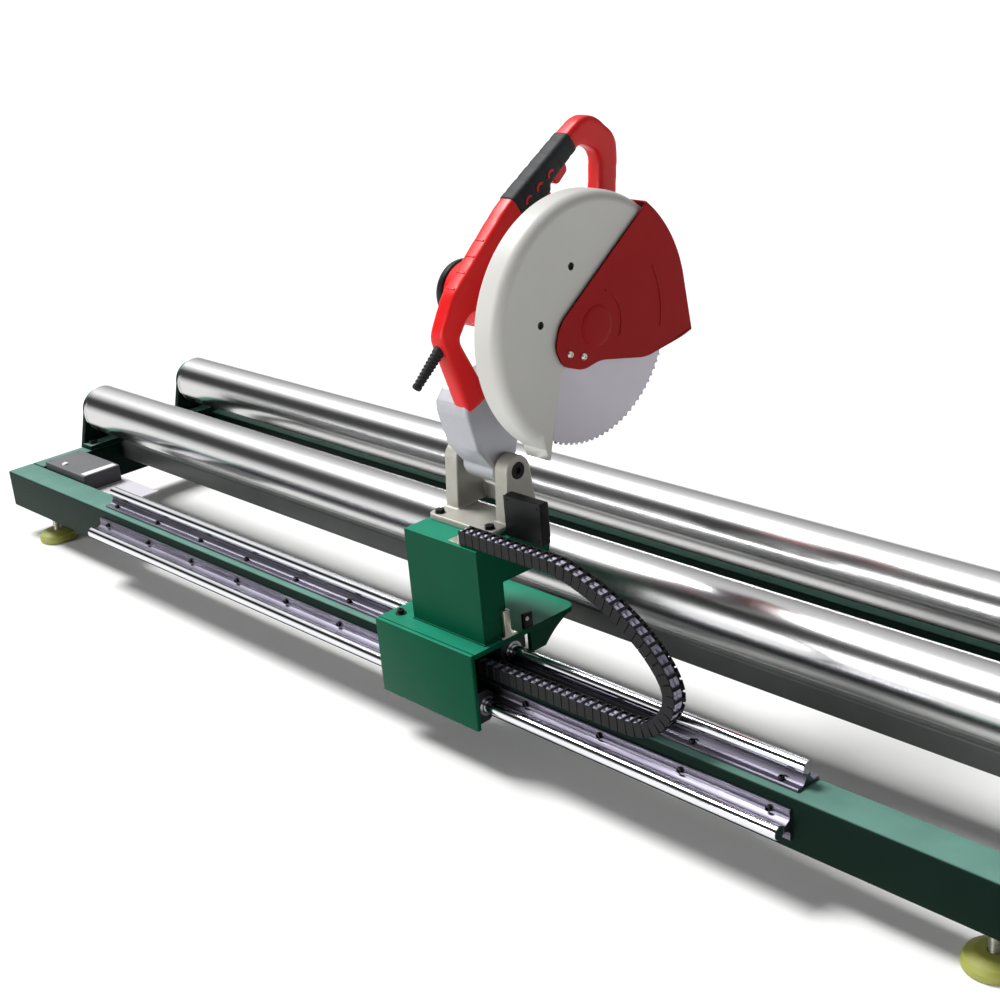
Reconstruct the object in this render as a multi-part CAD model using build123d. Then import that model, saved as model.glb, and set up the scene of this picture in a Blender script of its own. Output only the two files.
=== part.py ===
"""Rail-guided cut-off saw over two rollers, millimetres, +Z up.

Origin: floor level, at half the frame's length and half its depth.
+X runs along the front beam, +Y from the operator's side to the rollers.
"""
from build123d import *
import os
from math import ceil, cos, hypot, radians, sin

# ---------------------------------------------------------------- driving dimensions
FRAME_LENGTH = 2500.0
FRAME_DEPTH = 560.0
BEAM_HEIGHT = 80.0
BEAM_DEPTH = 60.0
BEAM_WALL = 4.0
GROUND_GAP = 60.0
CROSS_WIDTH = 45.0
CROSS_WALL = 3.0
TIE_SIZE = 40.0
TIE_WALL = 3.0
TIE_SETBACK = 256.0
CAP_THICKNESS = 3.0

FOOT_RADIUS = 40.0
FOOT_HEIGHT = 22.0
FOOT_INSET = 120.0
FOOT_SCREW_RADIUS = 8.0
FOOT_NUT_HEIGHT = 13.0
FOOT_NUT_RADIUS = 14.0

ROLLER_RADIUS = 52.0
ROLLER_WALL = 4.0
ROLLER_RISE = 77.0
REAR_ROLLER_INSET = 69.0
ROLLER_SETBACK = 245.0
ROLLER_END_GAP = 6.0
ROLLER_DISC = 12.0
ROLLER_DISC_RECESS = 4.0
JOURNAL_RADIUS = 12.5
BRACKET_THICKNESS = 12.0
BRACKET_RADIUS = 44.0
BRACKET_FOOT = 10.0
BRACKET_FOOT_HALF = 64.0
BEARING_RADIUS = 26.0
RUNNING_GAP = 0.05

RAIL_INSET = 393.0
RAIL_FOOT_WIDTH = 46.0
RAIL_FOOT_THICKNESS = 5.0
RAIL_WEB = 9.0
RAIL_RISE = 27.0
SHAFT_RADIUS = 10.0
TOP_RAIL_SETBACK = 36.0
RAIL_BOLT_PITCH = 150.0
RAIL_BOLT_OFFSET = 15.0
RAIL_BOLT_RADIUS = 4.5
RAIL_BOLT_HEAD = 5.0

BLOCK_WIDTH = 50.0
BLOCK_LENGTH = 50.0
BLOCK_ABOVE_AXIS = 20.0
BLOCK_BELOW_AXIS = 12.0
BLOCK_END_INSET = 6.0
SEAL_THICKNESS = 3.0
SEAL_RADIUS = 15.0

CARRIAGE_REST = 206.5
CARRIAGE_LENGTH = 223.0
PLATE = 8.0
CARRIAGE_REACH = 170.0
COVER_DROP = 127.0
SKIRT_DROP = 34.0

COLUMN_WIDTH = 162.0
COLUMN_SHIFT = 21.5
COLUMN_SETBACK = 37.0
COLUMN_DEPTH = 48.0
COLUMN_HEIGHT = 152.0
COLUMN_WALL = 6.0
ARM_REACH = 150.0
ARM_DEPTH = 65.0
ARM_RADIUS = 24.0

EAR_THICKNESS = 28.0
EAR_RADIUS = 24.0
EAR_SPAN = 84.0
EAR_CENTRE_SHIFT = -7.5
BASE_THICKNESS = 10.0
BASE_SETBACK = 48.0
PIVOT_RISE = 87.0
PIVOT_SETBACK = 115.0
PIVOT_RADIUS = 9.0
PIVOT_HEAD = 6.0

BLADE_RADIUS = 177.5
BLADE_THICKNESS = 3.2
BLADE_TEETH = 100
TOOTH_HEIGHT = 3.5
BLADE_SHIFT = 56.0
ARBOR_FORWARD = 85.0
ARBOR_RISE = 215.0
ARBOR_RADIUS = 12.5
FLANGE_RADIUS = 32.0
FLANGE_THICKNESS = 6.0
GUARD_ROOM = 14.5
GUARD_WALL = 3.0
GUARD_OUTSIDE = 19.0
GUARD_INSIDE = 28.0
LOWER_GUARD_ROOM = 6.0
GUARD_PATTERN = 192.0
GUARD_CLEARANCE = 2.5
COLLAR_GAP = 0.08

GEAR_MODULE = 1.5
GEAR_TEETH = 40
PINION_TEETH = 10
GEAR_WIDTH = 10.0
GEAR_CASE_RADIUS = 64.0
GEAR_CASE_DEPTH = 32.0
GEAR_CASE_WALL = 4.0
MOTOR_RADIUS = 50.0
MOTOR_LENGTH = 183.0
MOTOR_WALL = 4.0
MOTOR_CAP = 22.0
ARMATURE_RADIUS = 24.0
ARMATURE_SHAFT = 6.0

HANDLE_WIDTH = 32.0
HANDLE_SHIFT = 27.5
HANDLE_WALL = 4.0
GRIP_SKIN = 2.5
TRIGGER_TRAVEL = 6.0
TRIGGER_WIDTH = 16.0
TRIGGER_GAP = 0.6
TRIGGER_START = 88.0
TRIGGER_END = 132.0
TRIGGER_DEPTH = 18.0

CHAIN_WIDTH = 25.0
CHAIN_HEIGHT = 22.0
CHAIN_CENTRE = -3.0
CHAIN_ANCHOR_INSET = 8.0
CHAIN_LIFT = 3.0
CHAIN_REST = 0.5

# ---------------------------------------------------------------- derived places
front_overhang = RAIL_RISE + BLOCK_ABOVE_AXIS + PLATE
rear_overhang = FOOT_RADIUS - BEAM_DEPTH / 2
half_length = FRAME_LENGTH / 2
front_y = (front_overhang - rear_overhang - FRAME_DEPTH) / 2
rear_y = front_y + FRAME_DEPTH
beam_back_y = front_y + BEAM_DEPTH
beam_top = GROUND_GAP + BEAM_HEIGHT
beam_mid = GROUND_GAP + BEAM_HEIGHT / 2
front_roller_y = front_y + ROLLER_SETBACK
rear_roller_y = rear_y - REAR_ROLLER_INSET
roller_z = beam_top + ROLLER_RISE

rail_end = half_length - RAIL_INSET
top_rail_y = front_y + TOP_RAIL_SETBACK
top_shaft_z = beam_top + RAIL_RISE
front_shaft_y = front_y - RAIL_RISE

plate_bottom = top_shaft_z + BLOCK_ABOVE_AXIS
plate_top = plate_bottom + PLATE
cover_front = front_shaft_y - BLOCK_ABOVE_AXIS - PLATE
cover_back = cover_front + PLATE
carriage_left = CARRIAGE_REST - CARRIAGE_LENGTH / 2
carriage_right = CARRIAGE_REST + CARRIAGE_LENGTH / 2
carriage_rear = front_y + CARRIAGE_REACH

column_x = CARRIAGE_REST + COLUMN_SHIFT
column_left = column_x - COLUMN_WIDTH / 2
column_right = column_x + COLUMN_WIDTH / 2
column_front = cover_front + COLUMN_SETBACK
column_back = column_front + COLUMN_DEPTH
column_top = plate_top + COLUMN_HEIGHT
arm_back = column_front + ARM_REACH

ear_centre = column_x + EAR_CENTRE_SHIFT
left_ear = ear_centre - EAR_SPAN / 2 - EAR_THICKNESS
right_ear = ear_centre + EAR_SPAN / 2
base_top = column_top + BASE_THICKNESS
pivot_y = column_front + PIVOT_SETBACK
pivot_z = column_top + PIVOT_RISE

blade_x = column_right + BLADE_SHIFT
arbor_y = pivot_y + ARBOR_FORWARD
arbor_z = pivot_z + ARBOR_RISE
guard_radius = BLADE_RADIUS + GUARD_ROOM
lower_guard_radius = guard_radius + LOWER_GUARD_ROOM
guard_face = blade_x + GUARD_OUTSIDE
guard_back = blade_x - GUARD_INSIDE
gear_centres = GEAR_MODULE * (GEAR_TEETH + PINION_TEETH) / 2
motor_y = arbor_y - gear_centres / 2 ** 0.5
motor_z = arbor_z + gear_centres / 2 ** 0.5
case_left = guard_back - GEAR_CASE_DEPTH
gear_x = guard_back - GEAR_CASE_WALL - 1.0 - GEAR_WIDTH
motor_right = case_left
motor_left = motor_right - MOTOR_LENGTH
handle_x = ear_centre + HANDLE_SHIFT
handle_left = handle_x - HANDLE_WIDTH / 2
handle_right = handle_x + HANDLE_WIDTH / 2

chain_y = front_y + CHAIN_CENTRE
chain_anchor = carriage_left + CHAIN_ANCHOR_INSET


# ---------------------------------------------------------------- solid helpers
def block(x0, x1, y0, y1, z0, z1):
    """Box between two corners."""
    return Pos((x0 + x1) / 2, (y0 + y1) / 2, (z0 + z1) / 2) * Box(x1 - x0, y1 - y0, z1 - z0)


def tube_x(x0, x1, y0, y1, z0, z1, wall):
    """Rectangular tube along X, open at both ends."""
    hollow = block(x0 - 1, x1 + 1, y0 + wall, y1 - wall, z0 + wall, z1 - wall)
    return block(x0, x1, y0, y1, z0, z1) - hollow


def tube_y(x0, x1, y0, y1, z0, z1, wall):
    """Rectangular tube along Y, open at both ends."""
    hollow = block(x0 + wall, x1 - wall, y0 - 1, y1 + 1, z0 + wall, z1 - wall)
    return block(x0, x1, y0, y1, z0, z1) - hollow


def rod_x(radius, x0, x1, y, z):
    """Cylinder along X."""
    return Pos((x0 + x1) / 2, y, z) * Rot(0, 90, 0) * Cylinder(radius, x1 - x0)


def rod_y(radius, y0, y1, x, z):
    """Cylinder along Y."""
    return Pos(x, (y0 + y1) / 2, z) * Rot(90, 0, 0) * Cylinder(radius, y1 - y0)


def rod_z(radius, z0, z1, x, y):
    """Cylinder along Z."""
    return Pos(x, y, (z0 + z1) / 2) * Cylinder(radius, z1 - z0)


def slab_x(face, x0, x1):
    """Face drawn in (y, z), extruded from x0 to x1."""
    return extrude(Plane.YZ.offset(x0) * face, amount=x1 - x0, dir=(1, 0, 0))


def slab_y(face, y0, y1):
    """Face drawn in (x, z), extruded from y0 to y1."""
    plane = Plane((0, y0, 0), x_dir=(1, 0, 0), z_dir=(0, -1, 0))
    return extrude(plane * face, amount=y1 - y0, dir=(0, 1, 0))


def polygon(*points):
    """Closed face through points."""
    return make_face(Polyline(*points, close=True))


def disc(radius, y, z):
    """Filled circle at (y, z)."""
    return Pos(y, z) * Circle(radius)


def polar(radius, angle, y=0.0, z=0.0):
    """Point at an angle from +Y towards +Z."""
    return (y + radius * cos(radians(angle)), z + radius * sin(radians(angle)))


def sector(radius, start, end, y, z):
    """Pie slice about (y, z) from one angle to another, degrees from +Y."""
    mid = (start + end) / 2
    centre = (y, z)
    arc = ThreePointArc(polar(radius, start, y, z), polar(radius, mid, y, z), polar(radius, end, y, z))
    return make_face([Line(centre, arc @ 0), arc, Line(arc @ 1, centre)])


def hex_face(radius, u, v):
    """Hexagon, radius to its corners."""
    return Pos(u, v) * RegularPolygon(radius, 6)


def group(shapes):
    """Several separate solids in one compound."""
    solids = [solid for shape in shapes for solid in shape.solids()]
    return Compound(solids)


# ---------------------------------------------------------------- frame
def make_beams():
    """Front and rear box beams."""
    nodes = {}
    for name, y0 in (("front_beam", front_y), ("rear_beam", rear_y - BEAM_DEPTH)):
        beam = tube_x(-half_length, half_length, y0, y0 + BEAM_DEPTH, GROUND_GAP, beam_top, BEAM_WALL)
        nodes[name] = beam
    return nodes


def make_cross_members():
    """End members between the two beams."""
    nodes = {}
    for name, x0 in (("left_cross_member", -half_length), ("right_cross_member", half_length - CROSS_WIDTH)):
        nodes[name] = tube_y(
            x0, x0 + CROSS_WIDTH, beam_back_y, rear_y - BEAM_DEPTH, GROUND_GAP, beam_top, CROSS_WALL
        )
    return nodes


def make_tie_beam():
    """Square tube under the front roller, from one cross member to the other."""
    y0 = front_y + TIE_SETBACK
    x_end = half_length - CROSS_WIDTH
    return tube_x(-x_end, x_end, y0, y0 + TIE_SIZE, beam_top - TIE_SIZE, beam_top, TIE_WALL)


def make_beam_caps():
    """Plugs that close the four beam ends."""
    plugs = []
    for y0 in (front_y, rear_y - BEAM_DEPTH):
        for side in (-1, 1):
            inner = side * (half_length - CAP_THICKNESS)
            outer = side * half_length
            plugs.append(
                block(
                    min(inner, outer),
                    max(inner, outer),
                    y0 + BEAM_WALL,
                    y0 + BEAM_DEPTH - BEAM_WALL,
                    GROUND_GAP + BEAM_WALL,
                    beam_top - BEAM_WALL,
                )
            )
    return group(plugs)


def foot_places():
    """Plan positions of the levelling feet."""
    x_mid = half_length - FOOT_INSET
    y_front = front_y + BEAM_DEPTH / 2
    y_rear = rear_y - BEAM_DEPTH / 2
    return [(x, y) for x in (-x_mid, x_mid) for y in (y_front, y_rear)]


def make_feet():
    """Levelling feet: pad, screw and lock nut under each beam end."""
    pads = []
    screws = []
    nuts = []
    stem_bottom = FOOT_HEIGHT / 2
    for x, y in foot_places():
        pad = rod_z(FOOT_RADIUS, 0, FOOT_HEIGHT, x, y)
        pad = fillet(pad.edges().sort_by(Axis.Z)[-1], FOOT_HEIGHT / 3)
        pads.append(pad - rod_z(FOOT_SCREW_RADIUS, stem_bottom, FOOT_HEIGHT + 1, x, y))
        screws.append(rod_z(FOOT_SCREW_RADIUS, stem_bottom, GROUND_GAP, x, y))
        nut_plane = Plane.XY.offset(GROUND_GAP - FOOT_NUT_HEIGHT)
        nut = extrude(nut_plane * hex_face(FOOT_NUT_RADIUS, x, y), FOOT_NUT_HEIGHT)
        nuts.append(nut - rod_z(FOOT_SCREW_RADIUS, 0, GROUND_GAP + 1, x, y))
    return {"foot_pads": group(pads), "foot_screws": group(screws), "foot_nuts": group(nuts)}


def roller_ends():
    """Outer face of each bracket and the direction along X into the frame."""
    return ((-half_length, 1), (half_length, -1))


def along(start, direction, near, far):
    """Two X values at distances near and far from start, in rising order."""
    a = start + direction * near
    b = start + direction * far
    return min(a, b), max(a, b)


def make_roller_brackets(axis_y):
    """One upright plate with a foot and a bearing seat at each end of a roller."""
    shape = polygon(
        (axis_y - BRACKET_FOOT_HALF, beam_top),
        (axis_y + BRACKET_FOOT_HALF, beam_top),
        (axis_y + BRACKET_RADIUS, roller_z),
        (axis_y - BRACKET_RADIUS, roller_z),
    )
    shape = shape + disc(BRACKET_RADIUS, axis_y, roller_z) - disc(BEARING_RADIUS, axis_y, roller_z)
    parts = []
    for start, direction in roller_ends():
        x0, x1 = along(start, direction, 0, BRACKET_THICKNESS)
        upright = slab_x(shape, x0, x1)
        f0, f1 = along(start, direction, BRACKET_THICKNESS, CROSS_WIDTH)
        foot = block(
            f0, f1, axis_y - BRACKET_FOOT_HALF, axis_y + BRACKET_FOOT_HALF, beam_top, beam_top + BRACKET_FOOT
        )
        parts.append(upright + foot)
    return group(parts)


def make_roller_bearings():
    """Bearing rings in the brackets."""
    rings = []
    for axis_y in (front_roller_y, rear_roller_y):
        for start, direction in roller_ends():
            x0, x1 = along(start, direction, 0, BRACKET_THICKNESS)
            bore = rod_x(JOURNAL_RADIUS + RUNNING_GAP, x0 - 1, x1 + 1, axis_y, roller_z)
            rings.append(rod_x(BEARING_RADIUS, x0, x1, axis_y, roller_z) - bore)
    return group(rings)


def make_bracket_bolts():
    """Hexagon bolts through the bracket feet."""
    bolts = []
    for axis_y in (front_roller_y, rear_roller_y):
        for start, direction in roller_ends():
            x0, x1 = along(start, direction, BRACKET_THICKNESS, CROSS_WIDTH)
            for side in (-1, 1):
                y = axis_y + side * (BRACKET_FOOT_HALF - 16)
                head = hex_face(9.0, (x0 + x1) / 2, y)
                bolts.append(extrude(Plane.XY.offset(beam_top + BRACKET_FOOT) * head, 7.0))
    return group(bolts)


def make_roller(axis_y):
    """Roller tube, and its two end discs with journals."""
    tube_end = half_length - BRACKET_THICKNESS - ROLLER_END_GAP
    inner = ROLLER_RADIUS - ROLLER_WALL
    tube = rod_x(ROLLER_RADIUS, -tube_end, tube_end, axis_y, roller_z)
    tube = tube - rod_x(inner, -tube_end - 1, tube_end + 1, axis_y, roller_z)
    journals = []
    for start, direction in roller_ends():
        near = BRACKET_THICKNESS + ROLLER_END_GAP + ROLLER_DISC_RECESS
        d0, d1 = along(start, direction, near, near + ROLLER_DISC)
        j0, j1 = along(start, direction, 1.0, near + ROLLER_DISC + 20)
        end_disc = rod_x(inner, d0, d1, axis_y, roller_z)
        journals.append(end_disc + rod_x(JOURNAL_RADIUS, j0, j1, axis_y, roller_z))
    return tube, group(journals)


# ---------------------------------------------------------------- rails
def rail_bolt_places():
    """Bolt positions along a rail, evenly spread about its middle."""
    count = ceil((2 * rail_end - 60) / RAIL_BOLT_PITCH)
    first = -(count - 1) / 2 * RAIL_BOLT_PITCH
    return [first + index * RAIL_BOLT_PITCH for index in range(count)]


def make_top_rail():
    """Supported round rail on the beam's top face."""
    end = rail_end
    half_foot = RAIL_FOOT_WIDTH / 2
    shaft = rod_x(SHAFT_RADIUS, -end, end, top_rail_y, top_shaft_z)
    foot_top = beam_top + RAIL_FOOT_THICKNESS
    foot = block(-end, end, top_rail_y - half_foot, top_rail_y + half_foot, beam_top, foot_top)
    web = block(-end, end, top_rail_y - RAIL_WEB / 2, top_rail_y + RAIL_WEB / 2, foot_top, top_shaft_z)
    return foot + web - shaft, shaft


def make_front_rail():
    """Supported round rail on the beam's front face."""
    end = rail_end
    half_foot = RAIL_FOOT_WIDTH / 2
    shaft = rod_x(SHAFT_RADIUS, -end, end, front_shaft_y, beam_mid)
    foot_face = front_y - RAIL_FOOT_THICKNESS
    foot = block(-end, end, foot_face, front_y, beam_mid - half_foot, beam_mid + half_foot)
    web = block(-end, end, front_shaft_y, foot_face, beam_mid - RAIL_WEB / 2, beam_mid + RAIL_WEB / 2)
    return foot + web - shaft, shaft


def make_rail_bolts():
    """Cap screws along both flanges of both rails."""
    heads = []
    foot_top = beam_top + RAIL_FOOT_THICKNESS
    foot_face = front_y - RAIL_FOOT_THICKNESS
    for x in rail_bolt_places():
        for side in (-1, 1):
            offset = side * RAIL_BOLT_OFFSET
            heads.append(rod_z(RAIL_BOLT_RADIUS, foot_top, foot_top + RAIL_BOLT_HEAD, x, top_rail_y + offset))
            heads.append(rod_y(RAIL_BOLT_RADIUS, foot_face - RAIL_BOLT_HEAD, foot_face, x, beam_mid + offset))
    return group(heads)


# ---------------------------------------------------------------- corner switch box
def make_switch_box():
    """Dark control box in the frame's left front corner, its push button and its bracket sheet."""
    x0 = -half_length + CROSS_WIDTH + 4
    box_length = 170.0
    box_depth = 88.0
    y0 = beam_back_y + 4
    z1 = beam_top + 12
    body = block(x0, x0 + box_length, y0, y0 + box_depth, z1 - 60, z1)
    body = fillet(body.edges().filter_by(Axis.Z), 6.0)
    body = fillet(body.faces().sort_by(Axis.Z)[-1].edges(), 2.5)
    button_x = x0 + 60
    button_y = y0 + 18
    well = rod_z(7.4, z1 - 12, z1 + 1, button_x, button_y)
    button = rod_z(7.0, z1 - 7, z1 + 4, button_x, button_y)
    sheet_z = beam_top - 22
    sheet = block(x0 + 30, x0 + 300, beam_back_y, y0 + box_depth + 8, sheet_z - 3, sheet_z)
    body = body - block(x0 + 29, x0 + 301, beam_back_y - 1, y0 + box_depth + 9, sheet_z - 3, sheet_z)
    upper = body.solids().sort_by(Axis.Z)[-1]
    return {"switch_box": upper - well, "switch_button": button, "switch_sheet": sheet}


# ---------------------------------------------------------------- carriage
def block_places():
    """Middle of each bearing block along X."""
    reach = CARRIAGE_LENGTH / 2 - BLOCK_END_INSET - BLOCK_LENGTH / 2
    return (CARRIAGE_REST - reach, CARRIAGE_REST + reach)


def bearing_profile(seal):
    """Open linear bearing drawn with its shaft at the origin, its mounting face up."""
    radius = SHAFT_RADIUS + RUNNING_GAP
    slot = RAIL_WEB / 2 + 1.5
    opening = polygon((-slot, 0), (slot, 0), (slot + 3, -60), (-slot - 3, -60))
    if seal:
        return Circle(SEAL_RADIUS) - Circle(radius) - opening
    half = BLOCK_WIDTH / 2
    body = polygon(
        (-half, BLOCK_ABOVE_AXIS),
        (half, BLOCK_ABOVE_AXIS),
        (half, -2),
        (half - 7, -BLOCK_BELOW_AXIS),
        (-half + 7, -BLOCK_BELOW_AXIS),
        (-half, -2),
    )
    return body - Circle(radius) - opening


def bearing_at(profile, x0, x1, on_top):
    """Bearing profile extruded on the top rail or, turned a quarter, on the front rail."""
    if on_top:
        return slab_x(Pos(top_rail_y, top_shaft_z) * profile, x0, x1)
    return slab_x(Pos(front_shaft_y, beam_mid) * Rot(0, 0, 90) * profile, x0, x1)


def make_bearings():
    """Four open bearing blocks and the seals in their ends."""
    nodes = {}
    seals = []
    for name, on_top in (("top_bearing_blocks", True), ("front_bearing_blocks", False)):
        blocks = []
        for x in block_places():
            x0 = x - BLOCK_LENGTH / 2
            x1 = x + BLOCK_LENGTH / 2
            pocket = bearing_profile(True)
            body = bearing_at(bearing_profile(False), x0, x1, on_top)
            for s0, s1 in ((x0, x0 + SEAL_THICKNESS), (x1 - SEAL_THICKNESS, x1)):
                seal = bearing_at(pocket, s0, s1, on_top) & body
                seals.append(seal)
                body = body - bearing_at(Circle(SEAL_RADIUS), s0, s1, on_top)
            blocks.append(body)
        nodes[name] = group(blocks)
    nodes["bearing_seals"] = group(seals)
    return nodes


def make_carriage():
    """Top plate, front cover plate and the two rear skirts."""
    top = block(carriage_left, carriage_right, cover_back, carriage_rear, plate_bottom, plate_top)
    top = fillet(top.edges().filter_by(Axis.Z).sort_by(Axis.Y)[2:], 20.0)
    cover = block(carriage_left, carriage_right, cover_front, cover_back, plate_top - COVER_DROP, plate_top)
    cover = fillet(cover.edges().filter_by(Axis.Y), 4.0)
    front = beam_back_y + 8
    rear = carriage_rear - 22
    low = plate_bottom - SKIRT_DROP
    skirt_face = make_face(
        [
            Polyline((front, plate_bottom), (front, low), (front + 30, low)),
            RadiusArc((front + 30, low), (rear, plate_bottom), 140.0),
            Line((rear, plate_bottom), (front, plate_bottom)),
        ]
    )
    skirts = [
        slab_x(skirt_face, carriage_left, carriage_left + PLATE),
        slab_x(skirt_face, carriage_right - PLATE, carriage_right),
    ]
    return {"carriage_plate": top, "carriage_cover": cover, "carriage_skirts": group(skirts)}


def make_carriage_bolts():
    """Cap screws in the top plate and hexagon bolts in the saw base."""
    heads = []
    for y in (cover_front + 36, cover_front + 150):
        heads.append(rod_z(6.5, plate_top, plate_top + 8, carriage_left + 21, y))
    for x in (left_ear + EAR_THICKNESS / 2, right_ear + EAR_THICKNESS / 2):
        face = hex_face(8.0, x, column_front + BASE_SETBACK + 12)
        heads.append(extrude(Plane.XY.offset(base_top) * face, 6.0))
    return group(heads)


def make_limit_switch():
    """Small switch body on the plate beside the column."""
    x1 = carriage_right - 1
    return block(x1 - 7, x1, column_back + 28, column_back + 46, plate_top, plate_top + 24)


def make_column():
    """Welded box column with an arm that reaches back over the beam."""
    outline = make_face(
        [
            Polyline(
                (arm_back - ARM_RADIUS, column_top),
                (column_front, column_top),
                (column_front, plate_top),
                (column_back, plate_top),
                (column_back, column_top - ARM_DEPTH),
                (arm_back - ARM_RADIUS, column_top - ARM_DEPTH),
            ),
            ThreePointArc(
                (arm_back - ARM_RADIUS, column_top - ARM_DEPTH),
                (arm_back, column_top - ARM_DEPTH / 2),
                (arm_back - ARM_RADIUS, column_top),
            ),
        ]
    )
    inner = make_face(
        [
            Polyline(
                (arm_back - ARM_RADIUS, column_top - COLUMN_WALL),
                (column_front + COLUMN_WALL, column_top - COLUMN_WALL),
                (column_front + COLUMN_WALL, plate_top),
                (column_back - COLUMN_WALL, plate_top),
                (column_back - COLUMN_WALL, column_top - ARM_DEPTH + COLUMN_WALL),
                (arm_back - ARM_RADIUS, column_top - ARM_DEPTH + COLUMN_WALL),
            ),
            ThreePointArc(
                (arm_back - ARM_RADIUS, column_top - ARM_DEPTH + COLUMN_WALL),
                (arm_back - COLUMN_WALL, column_top - ARM_DEPTH / 2),
                (arm_back - ARM_RADIUS, column_top - COLUMN_WALL),
            ),
        ]
    )
    shell = slab_x(outline, column_left, column_right)
    return shell - slab_x(inner, column_left + COLUMN_WALL, column_right - COLUMN_WALL)


def ear_face():
    """Outline of one ear, with its pin hole."""
    foot = EAR_RADIUS + 6
    face = polygon(
        (pivot_y - foot, base_top),
        (pivot_y + foot + 4, base_top),
        (pivot_y + EAR_RADIUS, pivot_z),
        (pivot_y - EAR_RADIUS, pivot_z),
    )
    return face + disc(EAR_RADIUS, pivot_y, pivot_z) - disc(PIVOT_RADIUS, pivot_y, pivot_z)


def make_saw_base():
    """Cast base with two ears and a low wall behind them."""
    left = left_ear
    right = right_ear + EAR_THICKNESS
    base_front = column_front + BASE_SETBACK
    base = block(left - 2, right + 2, base_front, arm_back - ARM_RADIUS, column_top, base_top)
    base = fillet(base.edges().filter_by(Axis.Z), 10.0)
    ears = slab_x(ear_face(), left, left + EAR_THICKNESS) + slab_x(ear_face(), right_ear, right)
    wall_y = pivot_y + EAR_RADIUS + 4
    wall = block(left + EAR_THICKNESS, right_ear, wall_y, wall_y + 8, base_top, pivot_z - 50)
    recess = rod_x(PIVOT_RADIUS + 4, right - PIVOT_HEAD, right + 1, pivot_y, pivot_z)
    return base + ears + wall - recess


def make_pivot_pin():
    """Pin through both ears, its socket head sunk in the right one."""
    right = right_ear + EAR_THICKNESS
    pin = rod_x(PIVOT_RADIUS, left_ear, right - PIVOT_HEAD, pivot_y, pivot_z)
    head = rod_x(PIVOT_RADIUS + 4, right - PIVOT_HEAD, right - 1, pivot_y, pivot_z)
    socket = slab_x(hex_face(6.0, pivot_y, pivot_z), right - PIVOT_HEAD + 1, right)
    return pin + head - socket


def make_return_spring():
    """Torsion spring coiled round the pivot pin, beside the left ear."""
    start = left_ear + EAR_THICKNESS + 3.4
    helix = Helix(pitch=3.1, height=9.3, radius=PIVOT_RADIUS + 3)
    coil = Pos(start, pivot_y, pivot_z) * Rot(0, 90, 0) * helix
    return sweep(Plane(coil @ 0, z_dir=coil % 0) * Circle(1.2), path=coil, is_frenet=True)


def make_junction_box():
    """Moulded terminal box on the column's right edge."""
    x0 = column_right - 10
    body = polygon(
        (x0, column_top),
        (x0 + 78, column_top),
        (x0 + 78, column_top + 56),
        (x0 + 68, column_top + 66),
        (x0, column_top + 66),
    )
    y0 = column_front + 70
    box = slab_y(body, y0, y0 + 20)
    return fillet(box.edges().filter_by(Axis.Y), 3.0)


# ---------------------------------------------------------------- drag chain
def chain_path():
    """Centre line of the chain, as (x, z), from the column's top to the beam."""
    top_z = column_top + CHAIN_HEIGHT / 2 + CHAIN_LIFT
    low_z = beam_top + CHAIN_HEIGHT / 2 + CHAIN_REST
    start = (column_right - 39, top_z)
    bend_top = (column_right + 144, top_z)
    bend_low = (column_right + 244, low_z)
    anchor = (chain_anchor, low_z)
    return start, bend_top, bend_low, anchor


def chain_bend_line():
    """Curved part of the chain: it droops, turns back and lands on the beam."""
    _, top, low, _ = chain_path()
    fall = (top[1] - low[1]) / 209.0
    return Spline(
        top,
        (top[0] + 80, top[1] - 19 * fall),
        (top[0] + 147, top[1] - 52 * fall),
        (top[0] + 196, top[1] - 95 * fall),
        (top[0] + 215, top[1] - 136 * fall),
        (top[0] + 199, top[1] - 176 * fall),
        (top[0] + 164, top[1] - 202 * fall),
        low,
        tangents=[(1, 0), (-1, 0)],
    )


def ribbon(edge):
    """Chain band of constant height along a line drawn in (x, z)."""
    band = trace(edge, CHAIN_HEIGHT)
    return slab_y(band, chain_y - CHAIN_WIDTH / 2, chain_y + CHAIN_WIDTH / 2)


def make_chain():
    """Upper run, bend and lower run, and the brackets that hold the two ends."""
    start, top, low, anchor = chain_path()
    half = CHAIN_HEIGHT / 2
    y0 = chain_y - CHAIN_WIDTH / 2
    y1 = chain_y + CHAIN_WIDTH / 2
    upper = block(start[0], top[0], y0, y1, start[1] - half, start[1] + half)
    lower = block(anchor[0], low[0], y0, y1, low[1] - half, low[1] + half)
    tongue = block(start[0] - 26, start[0], y0 + 2, y1 - 2, column_top, column_top + 3)
    tongue = tongue + block(start[0] - 3, start[0], y0 + 2, y1 - 2, column_top, column_top + 16)
    clip = block(anchor[0] - 26, anchor[0], y0 + CHAIN_WIDTH / 2 + 5, y1, beam_top, beam_top + 3)
    clip = clip + block(anchor[0] - 3, anchor[0], y0 + CHAIN_WIDTH / 2 + 5, y1, beam_top, beam_top + 16)
    return {
        "chain_upper_run": upper,
        "chain_bend": ribbon(chain_bend_line()),
        "chain_lower_run": lower,
        "chain_carriage_bracket": tongue,
        "chain_frame_bracket": clip,
    }


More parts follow.
